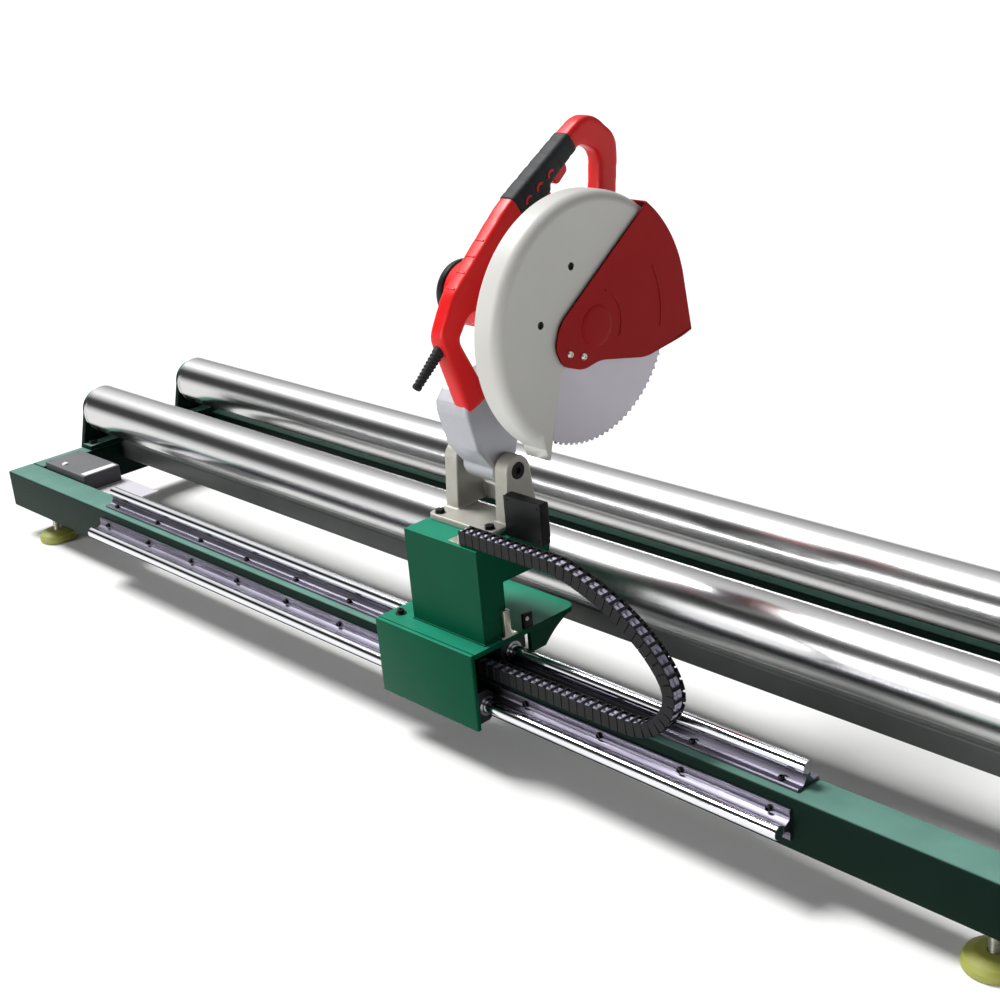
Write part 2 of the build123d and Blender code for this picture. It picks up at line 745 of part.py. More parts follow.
# ---------------------------------------------------------------- saw head
def make_arm():
    """Cast arm from the pivot up to the gear case, with a bridge behind the guard."""
    x0 = left_ear + EAR_THICKNESS + 14
    x1 = right_ear - 1
    leg = make_face(
        Polyline(
            (pivot_y - 24, pivot_z + 4),
            (pivot_y - 52, pivot_z + 40),
            (pivot_y - 66, pivot_z + 96),
            (pivot_y - 66, pivot_z + 112),
            (pivot_y - 50, pivot_z + 130),
            (pivot_y + 40, pivot_z + 150),
            (pivot_y + 60, pivot_z + 120),
            (pivot_y + 24, pivot_z + 4),
            close=True,
        )
    )
    leg = leg + disc(EAR_RADIUS + 1, pivot_y, pivot_z)
    arm = slab_x(leg, x0, x1)
    arm = fillet(arm.edges().filter_by(Axis.X, reverse=True), 5.0)
    bridge = block(x1 - 20, case_left, pivot_y + 2, pivot_y + 60, pivot_z + 118, pivot_z + 152)
    plate = slab_x(disc(GEAR_CASE_RADIUS, arbor_y, arbor_z) + case_lug(), case_left - 8, case_left)
    motor_opening = rod_x(MOTOR_RADIUS - MOTOR_WALL, case_left - 9, case_left + 1, motor_y, motor_z)
    arm = arm + bridge + plate - motor_opening
    return arm - rod_x(PIVOT_RADIUS + RUNNING_GAP, x0 - 1, x1 + 1, pivot_y, pivot_z)


def case_lug():
    """Web that ties the gear case's plate to the arm's bridge."""
    return polygon(
        (pivot_y + 2, pivot_z + 118),
        (pivot_y + 60, pivot_z + 118),
        (arbor_y + 40, arbor_z - 40),
        (arbor_y - 50, arbor_z - 20),
        (pivot_y + 2, pivot_z + 152),
    )


def case_face():
    """Outline of the gear case."""
    return disc(GEAR_CASE_RADIUS, arbor_y, arbor_z) + disc(MOTOR_RADIUS + 4, motor_y, motor_z)


def make_gear_case():
    """Gear case between the arm's plate and the guard, bored for both shafts."""
    outer = slab_x(case_face(), case_left, guard_back)
    hollow = disc(GEAR_CASE_RADIUS - GEAR_CASE_WALL, arbor_y, arbor_z)
    far = guard_back - GEAR_CASE_WALL
    inner = slab_x(hollow, case_left + GEAR_CASE_WALL, far)
    bore = rod_x(ARBOR_RADIUS + RUNNING_GAP, case_left - 1, guard_back + 1, arbor_y, arbor_z)
    shaft_bore = rod_x(ARMATURE_SHAFT + RUNNING_GAP, case_left - 1, far, motor_y, motor_z)
    return outer - inner - bore - shaft_bore


def tooth_gear(module, teeth, width, x0, y, z, turn):
    """Spur gear with straight-flanked teeth, its axis along X."""
    pitch_radius = module * teeth / 2
    root = pitch_radius - 1.25 * module
    tip = pitch_radius + 0.9 * module
    step = 360.0 / teeth
    face = Circle(root)
    half_root = 0.27 * step
    half_tip = 0.11 * step
    for index in range(teeth):
        angle = turn + index * step
        inner = root - 0.4
        face = face + polygon(
            polar(inner, angle - half_root),
            polar(tip, angle - half_tip),
            polar(tip, angle + half_tip),
            polar(inner, angle + half_root),
        )
    return slab_x(Pos(y, z) * face, x0, x0 + width)


def make_arbor():
    """Blade spindle with its driven gear and nut, and the two clamping flanges."""
    blade_left = blade_x - BLADE_THICKNESS / 2
    blade_right = blade_x + BLADE_THICKNESS / 2
    shaft = rod_x(ARBOR_RADIUS, case_left, blade_right + FLANGE_THICKNESS, arbor_y, arbor_z)
    gear = tooth_gear(GEAR_MODULE, GEAR_TEETH, GEAR_WIDTH, gear_x, arbor_y, arbor_z, 4.5)
    bore = rod_x(ARBOR_RADIUS, case_left - 1, guard_face, arbor_y, arbor_z)
    flanges = []
    for x0 in (blade_left - FLANGE_THICKNESS, blade_right):
        flanges.append(rod_x(FLANGE_RADIUS, x0, x0 + FLANGE_THICKNESS, arbor_y, arbor_z) - bore)
    bolt_x = blade_right + FLANGE_THICKNESS
    bolt = slab_x(hex_face(11.0, arbor_y, arbor_z), bolt_x, bolt_x + 7)
    return {"arbor_shaft": shaft + gear, "blade_flanges": group(flanges), "arbor_bolt": bolt}


def make_blade():
    """Toothed disc with its bore."""
    teeth = []
    step = 360.0 / BLADE_TEETH
    root = BLADE_RADIUS - TOOTH_HEIGHT
    for index in range(BLADE_TEETH):
        teeth.append(polar(BLADE_RADIUS, index * step))
        teeth.append(polar(root, index * step + 0.25 * step))
        teeth.append(polar(root, index * step + 0.75 * step))
    face = Pos(arbor_y, arbor_z) * polygon(*teeth) - disc(ARBOR_RADIUS, arbor_y, arbor_z)
    return slab_x(face, blade_x - BLADE_THICKNESS / 2, blade_x + BLADE_THICKNESS / 2)


def make_motor():
    """Motor housing, its end cap, the stator and the armature with pinion."""
    bearing_seat = motor_left + MOTOR_CAP
    housing = rod_x(MOTOR_RADIUS, bearing_seat, motor_right - 8, motor_y, motor_z)
    hollow = rod_x(MOTOR_RADIUS - MOTOR_WALL, bearing_seat - 1, motor_right, motor_y, motor_z)
    cap = rod_x(MOTOR_RADIUS, motor_left, bearing_seat, motor_y, motor_z)
    cap = fillet(cap.edges().filter_by(GeomType.CIRCLE).sort_by(Axis.X)[0], 16.0)
    seat = rod_x(ARMATURE_SHAFT + RUNNING_GAP, motor_left + 6, bearing_seat + 1, motor_y, motor_z)
    stator_left = motor_left + 60
    stator_right = motor_right - 50
    stator = rod_x(MOTOR_RADIUS - MOTOR_WALL, stator_left, stator_right, motor_y, motor_z)
    stator = stator - rod_x(ARMATURE_RADIUS + 1, stator_left - 1, stator_right + 1, motor_y, motor_z)
    shaft = rod_x(ARMATURE_SHAFT, motor_left + 8, gear_x + 1, motor_y, motor_z)
    core = rod_x(ARMATURE_RADIUS, stator_left, stator_right, motor_y, motor_z)
    commutator = rod_x(15.0, motor_left + 34, stator_left, motor_y, motor_z)
    fan = rod_x(MOTOR_RADIUS - MOTOR_WALL - 4, stator_right + 12, stator_right + 24, motor_y, motor_z)
    pinion = tooth_gear(GEAR_MODULE, PINION_TEETH, GEAR_WIDTH, gear_x, motor_y, motor_z, -45.0)
    return {
        "motor_housing": housing - hollow,
        "motor_cap": cap - seat,
        "motor_stator": stator,
        "motor_armature": shaft + core + commutator + fan + pinion,
    }


def guard_sector(radius, start, end):
    """Sector of the guard about the arbor."""
    return sector(radius, start, end, arbor_y, arbor_z)


def guard_point(y, z):
    """Corner of a guard outline, drawn about the arbor for a rim of GUARD_PATTERN, at the real rim's size."""
    scale = guard_radius / GUARD_PATTERN
    return (arbor_y + y * scale, arbor_z + z * scale)


def make_upper_guard():
    """Pressed guard: rim, outer face and inner face around the blade's upper and front part."""
    start = 40.0
    centre = (arbor_y, arbor_z)
    tip = guard_point(-108, -173)
    split = guard_point(-72, -50)
    toe = polygon(
        centre,
        split,
        tip,
        polar(guard_radius, 234.0, arbor_y, arbor_z),
        polar(guard_radius, 227.0, arbor_y, arbor_z),
    )
    open_side = polygon(centre, split, tip, guard_point(0, -233), guard_point(60, 0))
    outline = guard_sector(guard_radius, start, 228.0) + toe - open_side
    inner = offset(outline, amount=-GUARD_WALL)
    inner = inner + guard_sector(guard_radius - GUARD_WALL, start - 12, 226.0)
    inner = inner + polygon(
        centre,
        split,
        (tip[0] + 4, tip[1] + 12),
        (tip[0] - 6, tip[1] + 16),
        guard_point(-90, 0),
    )
    body = slab_x(outline, guard_back, guard_face)
    body = body - slab_x(inner, guard_back + GUARD_WALL, guard_face - GUARD_WALL)
    arbor_opening = rod_x(FLANGE_RADIUS + 6, guard_back - 1, guard_face + 1, arbor_y, arbor_z)
    return body - arbor_opening


def lower_guard_face():
    """Outline of the lower guard's outer face."""
    return make_face(
        [
            ThreePointArc(
                polar(lower_guard_radius, 52.0, arbor_y, arbor_z),
                polar(lower_guard_radius, 29.0, arbor_y, arbor_z),
                polar(lower_guard_radius, 6.0, arbor_y, arbor_z),
            ),
            Polyline(
                polar(lower_guard_radius, 6.0, arbor_y, arbor_z),
                guard_point(209, -58),
                guard_point(140, -67),
                guard_point(99, -72),
                guard_point(3, -51),
                guard_point(-33, -57),
                guard_point(-72, -42),
                guard_point(-85, -13),
                guard_point(-72, 20),
                polar(lower_guard_radius, 52.0, arbor_y, arbor_z),
            ),
        ]
    )


def make_lower_guard():
    """Moving guard: a face over the upper guard's side and a rim outside its rim."""
    x0 = guard_face + GUARD_CLEARANCE
    x1 = x0 + GUARD_WALL
    plate = slab_x(lower_guard_face(), x0, x1)
    rim_inner = lower_guard_radius - GUARD_WALL
    rim_ring = guard_sector(lower_guard_radius, 6.0, 52.0) - disc(rim_inner, arbor_y, arbor_z)
    nose = guard_point(209, -58)
    rim_nose = polygon(
        polar(lower_guard_radius, 6.0, arbor_y, arbor_z),
        nose,
        (nose[0] - 4, nose[1]),
        polar(rim_inner, 6.0, arbor_y, arbor_z),
    )
    rim = slab_x(rim_ring + rim_nose, guard_back + 6, x0)
    collar_radius = FLANGE_RADIUS + 6 - COLLAR_GAP
    collar = rod_x(collar_radius, guard_face - GUARD_WALL, x0, arbor_y, arbor_z)
    collar = collar - rod_x(FLANGE_RADIUS + 2.5, guard_face - GUARD_WALL - 1, x0 + 1, arbor_y, arbor_z)
    dome = rod_x(30.0, x1, x1 + 4, arbor_y, arbor_z)
    dome = fillet(dome.edges().filter_by(GeomType.CIRCLE).sort_by(Axis.X)[-1], 3.5)
    return plate + rim + dome + collar


def make_guard_screws():
    """Two zinc screws in the lower guard's lobe."""
    x0 = guard_face + GUARD_CLEARANCE + GUARD_WALL
    heads = []
    for y, z in (guard_point(-58, -27), guard_point(-31, -37)):
        head = rod_x(5.5, x0, x0 + 4, y, z)
        heads.append(fillet(head.edges().filter_by(GeomType.CIRCLE).sort_by(Axis.X)[-1], 2.0))
    return group(heads)


# ---------------------------------------------------------------- handle
def handle_outline():
    """Outline of the handle in (y, z): leg, rear shell, grip and front loop."""
    y = arbor_y
    z = arbor_z
    outer = FilletPolyline(
        (y - 147, z - 116),
        (y - 186, z + 8),
        (y - 155, z + 64),
        (y - 35, z + 171),
        (y + 108, z + 258),
        (y + 144, z + 278),
        (y + 204, z + 228),
        (y + 192, z + 138),
        (y + 132, z + 48),
        (y - 38, z + 48),
        (y - 128, z + 28),
        (y - 150, z - 2),
        (y - 101, z - 98),
        radius=[6, 30, 60, 200, 60, 38, 38, 60, 30, 40, 20, 12, 6],
        close=True,
    )
    hole = FilletPolyline(
        (y + 46, z + 180),
        (y + 122, z + 231),
        (y + 162, z + 213),
        (y + 154, z + 143),
        (y + 82, z + 138),
        radius=[14, 16, 22, 20, 30],
        close=True,
    )
    return make_face(outer) - make_face(hole)


def grip_frame():
    """Start of the grip's upper surface and its unit direction."""
    a = (arbor_y - 35, arbor_z + 171)
    b = (arbor_y + 108, arbor_z + 258)
    length = hypot(b[0] - a[0], b[1] - a[1])
    return a, ((b[0] - a[0]) / length, (b[1] - a[1]) / length)


def grip_point(along_grip, below):
    """Point at a distance along the grip and a depth under its upper surface."""
    origin, direction = grip_frame()
    return (
        origin[0] + direction[0] * along_grip + direction[1] * below,
        origin[1] + direction[1] * along_grip - direction[0] * below,
    )


def grip_zone(deep):
    """Four-sided zone of the handle that the rubber covers."""
    return polygon(grip_point(12, -20), grip_point(152, -20), grip_point(152, deep), grip_point(12, deep))


def trigger_face():
    """Outline of the trigger paddle."""
    return polygon(
        grip_point(TRIGGER_START, TRIGGER_DEPTH),
        grip_point(TRIGGER_END, TRIGGER_DEPTH),
        grip_point(TRIGGER_END - 6, 48),
        grip_point(TRIGGER_START + 8, 52),
    )


def trigger_pocket():
    """Slot in the handle that the trigger slides in, as deep as its travel."""
    roof = TRIGGER_DEPTH - TRIGGER_TRAVEL - TRIGGER_GAP
    near = TRIGGER_START - TRIGGER_GAP
    far = TRIGGER_END + TRIGGER_GAP
    face = polygon(grip_point(near, roof), grip_point(far, roof), grip_point(far, 60), grip_point(near, 60))
    half = TRIGGER_WIDTH / 2 + TRIGGER_GAP
    return slab_x(face, handle_x - half, handle_x + half)


def handle_half(x0, x1):
    """One handle shell between two X values, one of them the split plane."""
    outline = handle_outline()
    core_x0 = max(x0, handle_left + GRIP_SKIN)
    core_x1 = min(x1, handle_right - GRIP_SKIN)
    hollow_x0 = max(x0 - 1, handle_left + HANDLE_WALL + 1)
    hollow_x1 = min(x1 + 1, handle_right - HANDLE_WALL - 1)
    zone = slab_x(grip_zone(40), x0 - 1, x1 + 1)
    body = slab_x(outline, x0, x1) - zone
    body = body + (slab_x(offset(outline, amount=-GRIP_SKIN), core_x0, core_x1) & zone)
    body = body - slab_x(offset(outline, amount=-HANDLE_WALL), hollow_x0, hollow_x1)
    body = body - rod_x(MOTOR_RADIUS, x0 - 1, x1 + 1, motor_y, motor_z)
    return body - trigger_pocket() - make_arm() - make_cable_boot()


def make_handle():
    """Two handle shells, the rubber grip and the trigger."""
    outline = handle_outline()
    zone = slab_x(grip_zone(40), handle_left, handle_right)
    core = slab_x(offset(outline, amount=-GRIP_SKIN), handle_left + GRIP_SKIN, handle_right - GRIP_SKIN)
    grip = (slab_x(outline, handle_left, handle_right) & zone) - core - trigger_pocket()
    half = TRIGGER_WIDTH / 2
    return {
        "handle_shell_left": handle_half(handle_left, handle_x),
        "handle_shell_right": handle_half(handle_x, handle_right),
        "handle_grip": grip,
        "trigger": slab_x(trigger_face(), handle_x - half, handle_x + half),
    }


def make_cable_boot():
    """Tapered rubber boot where the supply cable enters the handle."""
    top = (arbor_y - 174, arbor_z - 8)
    bottom = (arbor_y - 228, arbor_z - 55)
    length = hypot(top[0] - bottom[0], top[1] - bottom[1])
    direction = Vector(0, (bottom[0] - top[0]) / length, (bottom[1] - top[1]) / length)
    boot_plane = Plane((handle_x, top[0], top[1]), x_dir=(1, 0, 0), z_dir=direction)
    boot = loft([boot_plane * Circle(9.5), boot_plane.offset(length) * Circle(7.0)])
    return boot


# ---------------------------------------------------------------- assembly
def build_nodes():
    """Every node of the machine by name."""
    nodes = {}
    nodes.update(make_beams())
    nodes.update(make_cross_members())
    nodes["tie_beam"] = make_tie_beam()
    nodes["beam_caps"] = make_beam_caps()
    nodes.update(make_feet())
    nodes["roller_brackets"] = group([make_roller_brackets(y) for y in (front_roller_y, rear_roller_y)])
    nodes["roller_bearings"] = make_roller_bearings()
    nodes["bracket_bolts"] = make_bracket_bolts()
    nodes["front_roller_tube"], nodes["front_roller_journals"] = make_roller(front_roller_y)
    nodes["rear_roller_tube"], nodes["rear_roller_journals"] = make_roller(rear_roller_y)
    nodes["top_rail_support"], nodes["top_rail_shaft"] = make_top_rail()
    nodes["front_rail_support"], nodes["front_rail_shaft"] = make_front_rail()
    nodes["rail_bolts"] = make_rail_bolts()
    nodes.update(make_switch_box())
    nodes.update(make_bearings())
    nodes.update(make_carriage())
    nodes["carriage_bolts"] = make_carriage_bolts()
    nodes["column"] = make_column()
    nodes["saw_base"] = make_saw_base()
    nodes["pivot_pin"] = make_pivot_pin()
    nodes["return_spring"] = make_return_spring()
    nodes["limit_switch"] = make_limit_switch()
    nodes["junction_box"] = make_junction_box()
    nodes.update(make_chain())
    nodes["arm_casting"] = make_arm()
    nodes["gear_case"] = make_gear_case()
    nodes.update(make_arbor())
    nodes["saw_blade"] = make_blade()
    nodes.update(make_motor())
    nodes["upper_guard"] = make_upper_guard()
    nodes["lower_guard"] = make_lower_guard()
    nodes["guard_screws"] = make_guard_screws()
    nodes.update(make_handle())
    nodes["cable_boot"] = make_cable_boot()
    return nodes


def main():
    """Write one STEP file per node."""
    os.makedirs("parts", exist_ok=True)
    for name, shape in build_nodes().items():
        export_step(shape, "parts/" + name + ".step")
    print("saw built: pivot at", pivot_y, pivot_z, "and arbor at", arbor_y, arbor_z)


main()
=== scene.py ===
# %% [markdown]
# # A roll cutting saw on rails
# A saw for rolls: a hinged saw head on a carriage that slides along a green steel frame, with two
# polished rollers behind it that carry the roll. Each cell makes one kind of piece or one finish. Sizes
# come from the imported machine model, in metres, so every piece lands on its place without fitting.

# %% Open the machine model
from math import asin, atan2, cos, pi, radians, sin, tan

import bmesh
import bpy
from mathutils import Matrix, Vector
from mathutils.geometry import interpolate_bezier


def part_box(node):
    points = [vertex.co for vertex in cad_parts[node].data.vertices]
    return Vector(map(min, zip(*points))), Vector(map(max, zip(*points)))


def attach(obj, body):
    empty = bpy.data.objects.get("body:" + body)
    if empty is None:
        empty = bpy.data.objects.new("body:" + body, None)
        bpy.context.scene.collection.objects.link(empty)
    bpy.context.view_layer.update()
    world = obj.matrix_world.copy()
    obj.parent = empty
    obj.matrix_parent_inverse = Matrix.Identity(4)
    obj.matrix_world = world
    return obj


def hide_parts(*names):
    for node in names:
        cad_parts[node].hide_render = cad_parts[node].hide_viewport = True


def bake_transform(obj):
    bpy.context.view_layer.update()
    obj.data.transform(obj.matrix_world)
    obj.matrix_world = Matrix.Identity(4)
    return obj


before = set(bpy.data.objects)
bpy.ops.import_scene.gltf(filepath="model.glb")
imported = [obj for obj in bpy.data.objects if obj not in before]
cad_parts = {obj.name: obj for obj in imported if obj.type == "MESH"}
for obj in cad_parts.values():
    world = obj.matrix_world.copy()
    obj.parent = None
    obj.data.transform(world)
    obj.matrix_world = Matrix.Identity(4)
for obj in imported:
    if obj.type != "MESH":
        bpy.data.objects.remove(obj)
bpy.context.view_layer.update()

# %% [markdown]
# ## Colours
# A paint chart gives a colour as a hex code in sRGB, the screen's scale. A shader needs linear light, so
# one function turns every code.


# %% One function for colours
def paint(code):
    """Turns a hex code such as '1f6b52' into linear red, green, blue and alpha."""
    channels = [int(code[i : i + 2], 16) / 255 for i in (0, 2, 4)]
    linear = [c / 12.92 if c <= 0.04045 else ((c + 0.055) / 1.055) ** 2.4 for c in channels]
    return (*linear, 1.0)


print("mid green is", [round(c, 3) for c in paint("1f6b52")])

# %% [markdown]
# ## Adding a node
# A material is a small graph. Typing each node by hand is long, so one function adds a node, gives it
# its settings and joins its links.


# %% One function for nodes
def add_node(material, kind, settings=None, links=None):
    """Adds a node; a setting or link is named by its property or its socket's name or number."""
    node = material.node_tree.nodes.new(kind)
    for key, value in (settings or {}).items():
        if isinstance(key, str) and hasattr(node, key):
            setattr(node, key, value)
        else:
            node.inputs[key].default_value = value
    for key, source in (links or {}).items():
        material.node_tree.links.new(source, node.inputs[key])
    return node


print("node helper ready")

# %% [markdown]
# ## A finish
# Every surface on this machine gets the same layers: a colour that drifts a little over a hand's width, a
# fine grain from how it was made, edges that rub bare, and a paler film on faces that look up, which stands
# partly for sawing dust and partly for painted top light, the lit colour of an upward face. One recipe holds
# the layers, and each finish gives it real sizes in millimetres.


# %% The layers of a finish
def finish(name, colours, metal, rough, grain_mm, depth_mm=0.02, stretch=(1, 1, 1), drift_mm=70,
           edge_mm=0.8, rub=None, dust_and_top_light=None, gloss=0.5):
    """Builds one material from the layers of a real surface."""
    material = bpy.data.materials.new(name)
    material.use_nodes = True
    shader = material.node_tree.nodes["Principled BSDF"]
    shader.inputs["Metallic"].default_value = metal
    shader.inputs["Specular IOR Level"].default_value = gloss
    place = add_node(material, "ShaderNodeTexCoord").outputs["Object"]
    drawn = add_node(material, "ShaderNodeMapping", {"Scale": stretch}, {"Vector": place})
    drift = add_node(material, "ShaderNodeTexNoise", {"Scale": 1000 / drift_mm, "Detail": 5.0},
                     {"Vector": place}).outputs[0]
    grain = add_node(material, "ShaderNodeTexNoise", {"Scale": 1000 / grain_mm, "Detail": 3.0},
                     {"Vector": drawn.outputs[0]}).outputs[0]

    def remap(source, from_low, from_high, to_low, to_high):
        """Stretches part of a value's range over another range."""
        return add_node(material, "ShaderNodeMapRange", {1: from_low, 2: from_high, 3: to_low, 4: to_high},
                        {0: source}).outputs[0]

    def times(first, second):
        """Product of two masks."""
        return add_node(material, "ShaderNodeMath", {"operation": "MULTIPLY"},
                        {0: first, 1: second}).outputs[0]

    def cover(base, code, mask):
        """Lays another colour over the base where the mask is high."""
        return add_node(material, "ShaderNodeMix", {"data_type": "RGBA", 7: paint(code)},
                        {0: mask, 6: base}).outputs[2]

    colour = add_node(material, "ShaderNodeMix",
                      {"data_type": "RGBA", 6: paint(colours[0]),
                       7: paint(colours[1])}, {0: drift}).outputs[2]
    spread = remap(grain, 0.3, 0.7, *rough)
    shape = add_node(material, "ShaderNodeNewGeometry").outputs["Normal"]
    soft = shape
    if edge_mm:
        soft = add_node(material, "ShaderNodeBevel", {"samples": 4, "Radius": edge_mm / 1000}).outputs[0]
    if rub:
        turn = add_node(material, "ShaderNodeVectorMath", {"operation": "DOT_PRODUCT"}, {0: soft, 1: shape})
        edge = remap(turn.outputs[1], 0.985, 0.86, 0.0, 1.0)
        colour = cover(colour, rub, times(edge, remap(drift, 0.48, 0.62, 0.0, 0.85)))
    # Upward faces get a paler film: partly dust, partly painted top light, the lit colour that a top face
    # shows.
    if dust_and_top_light:
        code, amount = dust_and_top_light
        up = add_node(material, "ShaderNodeSeparateXYZ", {}, {0: shape}).outputs[2]
        dust_and_top_light_film = times(remap(up, 0.55, 0.98, 0.0, amount), remap(drift, 0.25, 0.75, 0.75, 1.0))
        colour = cover(colour, code, dust_and_top_light_film)
    bump = add_node(material, "ShaderNodeBump", {"Strength": 1.0, "Distance": depth_mm / 1000},
                    {"Height": grain, "Normal": soft})
    links = material.node_tree.links
    links.new(colour, shader.inputs["Base Color"])
    links.new(spread, shader.inputs["Roughness"])
    links.new(bump.outputs[0], shader.inputs["Normal"])
    FINISHES[name] = material
    return material


FINISHES = {}
print("finish recipe ready")

# %% [markdown]
# ## Sprayed paint
# The frame and the carriage are sprayed with two-pack machine enamel. It gives a skin with orange peel about
# 3 mm wide, a clear gloss on top, and bare steel where corners rub. The pale sage and teal film on their top
# faces is painted top light: the colour that a top takes under the overhead light, laid into the paint.

# %% Paints
# frame_green and carriage_green: the top film is painted top light, the lit sage and teal of their upward
# faces.
finish("frame_green", ("0a1c16", "0e221b"), 0.0, (0.38, 0.5), 3, 0.03, rub="5d6662",
       dust_and_top_light=("6c978a", 0.92), gloss=0.04)
finish("carriage_green", ("044530", "064c35"), 0.0, (0.3, 0.42), 3, 0.03, rub="5f7a70",
       dust_and_top_light=("2a9c7c", 0.7), gloss=0.05)
finish("guard_silver", ("bdbdb9", "c8c7c2"), 0.0, (0.36, 0.46), 2, 0.02, drift_mm=120, rub="9c9c9a",
       gloss=0.3)
finish("foot_green", ("8b8f3a", "a0a24e"), 0.0, (0.45, 0.6), 2, 0.05, rub="cfd08a")
# box_grey and tie_grey get a paler film on their upward faces.
finish("box_grey", ("3a3b3e", "4a4b4e"), 0.0, (0.45, 0.58), 1.5, 0.03, rub="b9babc", dust_and_top_light=("7d7e80", 0.3))
finish("sheet_light", ("d9d6dc", "c9c6cd"), 0.3, (0.35, 0.5), 2, 0.02, rub="4c4a50")
finish("tie_grey", ("4a4d4c", "5a5d5b"), 0.3, (0.4, 0.55), 2, 0.03, rub="8c8f8c", dust_and_top_light=("8f9894", 0.5),
       gloss=0.2)
print("paints", sorted(FINISHES))

# %% [markdown]
# ## Metals
# A metal's colour is its reflection. What tells them apart is the direction and width of the tool marks:
# the rollers are ground round and round, the rails are drawn along their length, castings are grainy.

# %% Metals
finish("roller_steel", ("c6c6c7", "cdcdcd"), 1.0, (0.2, 0.23), 2.5, 0.0005, stretch=(1, 0.05, 0.05),
       drift_mm=400, edge_mm=0)
finish("shaft_steel", ("dcdde2", "e6e6ea"), 1.0, (0.07, 0.13), 3, 0.003, stretch=(0.04, 1, 1), edge_mm=0)
finish("rail_aluminium", ("625f6b", "73707d"), 1.0, (0.3, 0.44), 1.6, 0.012, stretch=(0.02, 1, 1),
       rub="b4b2bc")
finish("block_aluminium", ("26272a", "303134"), 0.6, (0.4, 0.55), 1.5, 0.02, rub="c8c8cc")
finish("bearing_steel", ("9c9c9e", "b6b6b8"), 1.0, (0.22, 0.34), 1.5, 0.006)
finish("cast_silver", ("a4a5ab", "b7b8be"), 0.75, (0.42, 0.56), 2.2, 0.12, drift_mm=40, edge_mm=1.5,
       rub="e8e8ea")
finish("cast_base", ("9a978c", "adaba6"), 0.6, (0.45, 0.65), 2.2, 0.14, drift_mm=22, edge_mm=1.5,
       rub="8a7a55")
finish("blade_steel", ("96939b", "a8a5ad"), 0.9, (0.3, 0.42), 1.2, 0.006, drift_mm=90)
finish("spindle_steel", ("8f9094", "a6a7aa"), 1.0, (0.25, 0.38), 1.5, 0.008)
finish("spring_steel", ("6d6e72", "85868a"), 1.0, (0.28, 0.4), 1.5, 0.006)
finish("fastener_zinc", ("b8b6a8", "cfcdc0"), 1.0, (0.25, 0.4), 1.5, 0.01)
finish("copper_iron", ("8a4a2c", "6b6b6e"), 1.0, (0.35, 0.5), 2, 0.03)
print("metals added,", len(FINISHES), "finishes")

# %% [markdown]
# ## Plastics and rubber
# The handle is moulded ABS, the lower guard a tougher deep red plastic, the chain glass-filled nylon.
# Moulded skins are smooth with a spark-eroded grain under a millimetre wide, drawn here at 1.2 mm so that
# it shows. Rubber scatters more and shines less.

# %% Plastics and rubber
finish("red_plastic", ("cf1618", "d81d1e"), 0.0, (0.28, 0.38), 1.2, 0.01, edge_mm=0.6, gloss=0.22)
finish("red_guard", ("931518", "9f1c1e"), 0.0, (0.32, 0.42), 1.5, 0.012, drift_mm=110, rub="b23234",
       gloss=0.05)
finish("grip_rubber", ("131517", "1b1e20"), 0.0, (0.5, 0.66), 1.2, 0.05, rub="3c4044", gloss=0.25)
finish("black_plastic", ("0b0b0d", "151518"), 0.0, (0.36, 0.5), 1.2, 0.02, rub="44444a", gloss=0.16)
finish("seal_black", ("0b0b0b", "131313"), 0.0, (0.6, 0.75), 1.2, 0.02)
finish("fastener_black", ("101011", "1b1b1d"), 0.7, (0.35, 0.5), 1.2, 0.02, rub="6a6a6e")
finish("button_white", ("f1f1ee", "f6f6f4"), 0.0, (0.25, 0.35), 1.2, 0.01)
finish("hose_grey", ("b4b0c8", "c4c0d6"), 0.0, (0.35, 0.5), 2, 0.02, stretch=(0.2, 1, 1))
print(len(FINISHES), "finishes in all")

# %% [markdown]
# ## Giving the model's own parts their finish
# A part whose shape is already right keeps its mesh, and only its material changes.

# %% Finishes on the model's parts
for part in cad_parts.values():
    for place in part.material_slots:
        place.material = FINISHES[place.material.name.split(".")[0]]
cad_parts["roller_brackets"].material_slots[0].material = FINISHES["frame_green"]
print(len(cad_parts), "parts have a finish")

# %% [markdown]
# ## Turning a mesh into a piece
# A bmesh is only geometry. To become a piece it needs an object, a finish, the body that it moves with,
# and the names of the plain parts that it stands for.


# %% From bmesh to piece
def make_piece(name, bm, body, slot, *nodes, crease=35, finish_name=None):
    """Closes the seams of a bmesh and makes it a piece on one body."""
    bmesh.ops.remove_doubles(bm, verts=bm.verts, dist=0.00001)
    bmesh.ops.recalc_face_normals(bm, faces=bm.faces)
    mesh = bpy.data.meshes.new(name)
    bm.to_mesh(mesh)
    bm.free()
    mesh.materials.append(FINISHES[finish_name or slot])
    mesh.shade_smooth()
    mesh.set_sharp_from_angle(angle=radians(crease))
    piece = bpy.data.objects.new(name, mesh)
    bpy.context.collection.objects.link(piece)
    if body:
        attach(piece, body)
    if nodes:
        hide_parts(*nodes)
    return piece


def middle(node):
    """Middle of a part's box."""
    low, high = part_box(node)
    return (low + high) / 2


def freeze(piece):
    """Applies a piece's modifiers to its mesh."""
    dg = bpy.context.evaluated_depsgraph_get()
    mesh = bpy.data.meshes.new_from_object(piece.evaluated_get(dg))
    piece.modifiers.clear()
    old = piece.data
    piece.data = mesh
    bpy.data.meshes.remove(old)
    return piece


pivot = middle("pivot_pin")
arbor = middle("saw_blade")
print("pivot", [round(v, 4) for v in pivot], "arbor", [round(v, 4) for v in arbor])

# %% [markdown]
# ## Three ways to start a shape
# Most parts start as a block with rounded edges, as a profile turned on a lathe, or as an outline cut from
# sheet. Each is one bmesh operator with a little dressing: a bevelled cube, a spin, and an extruded face.


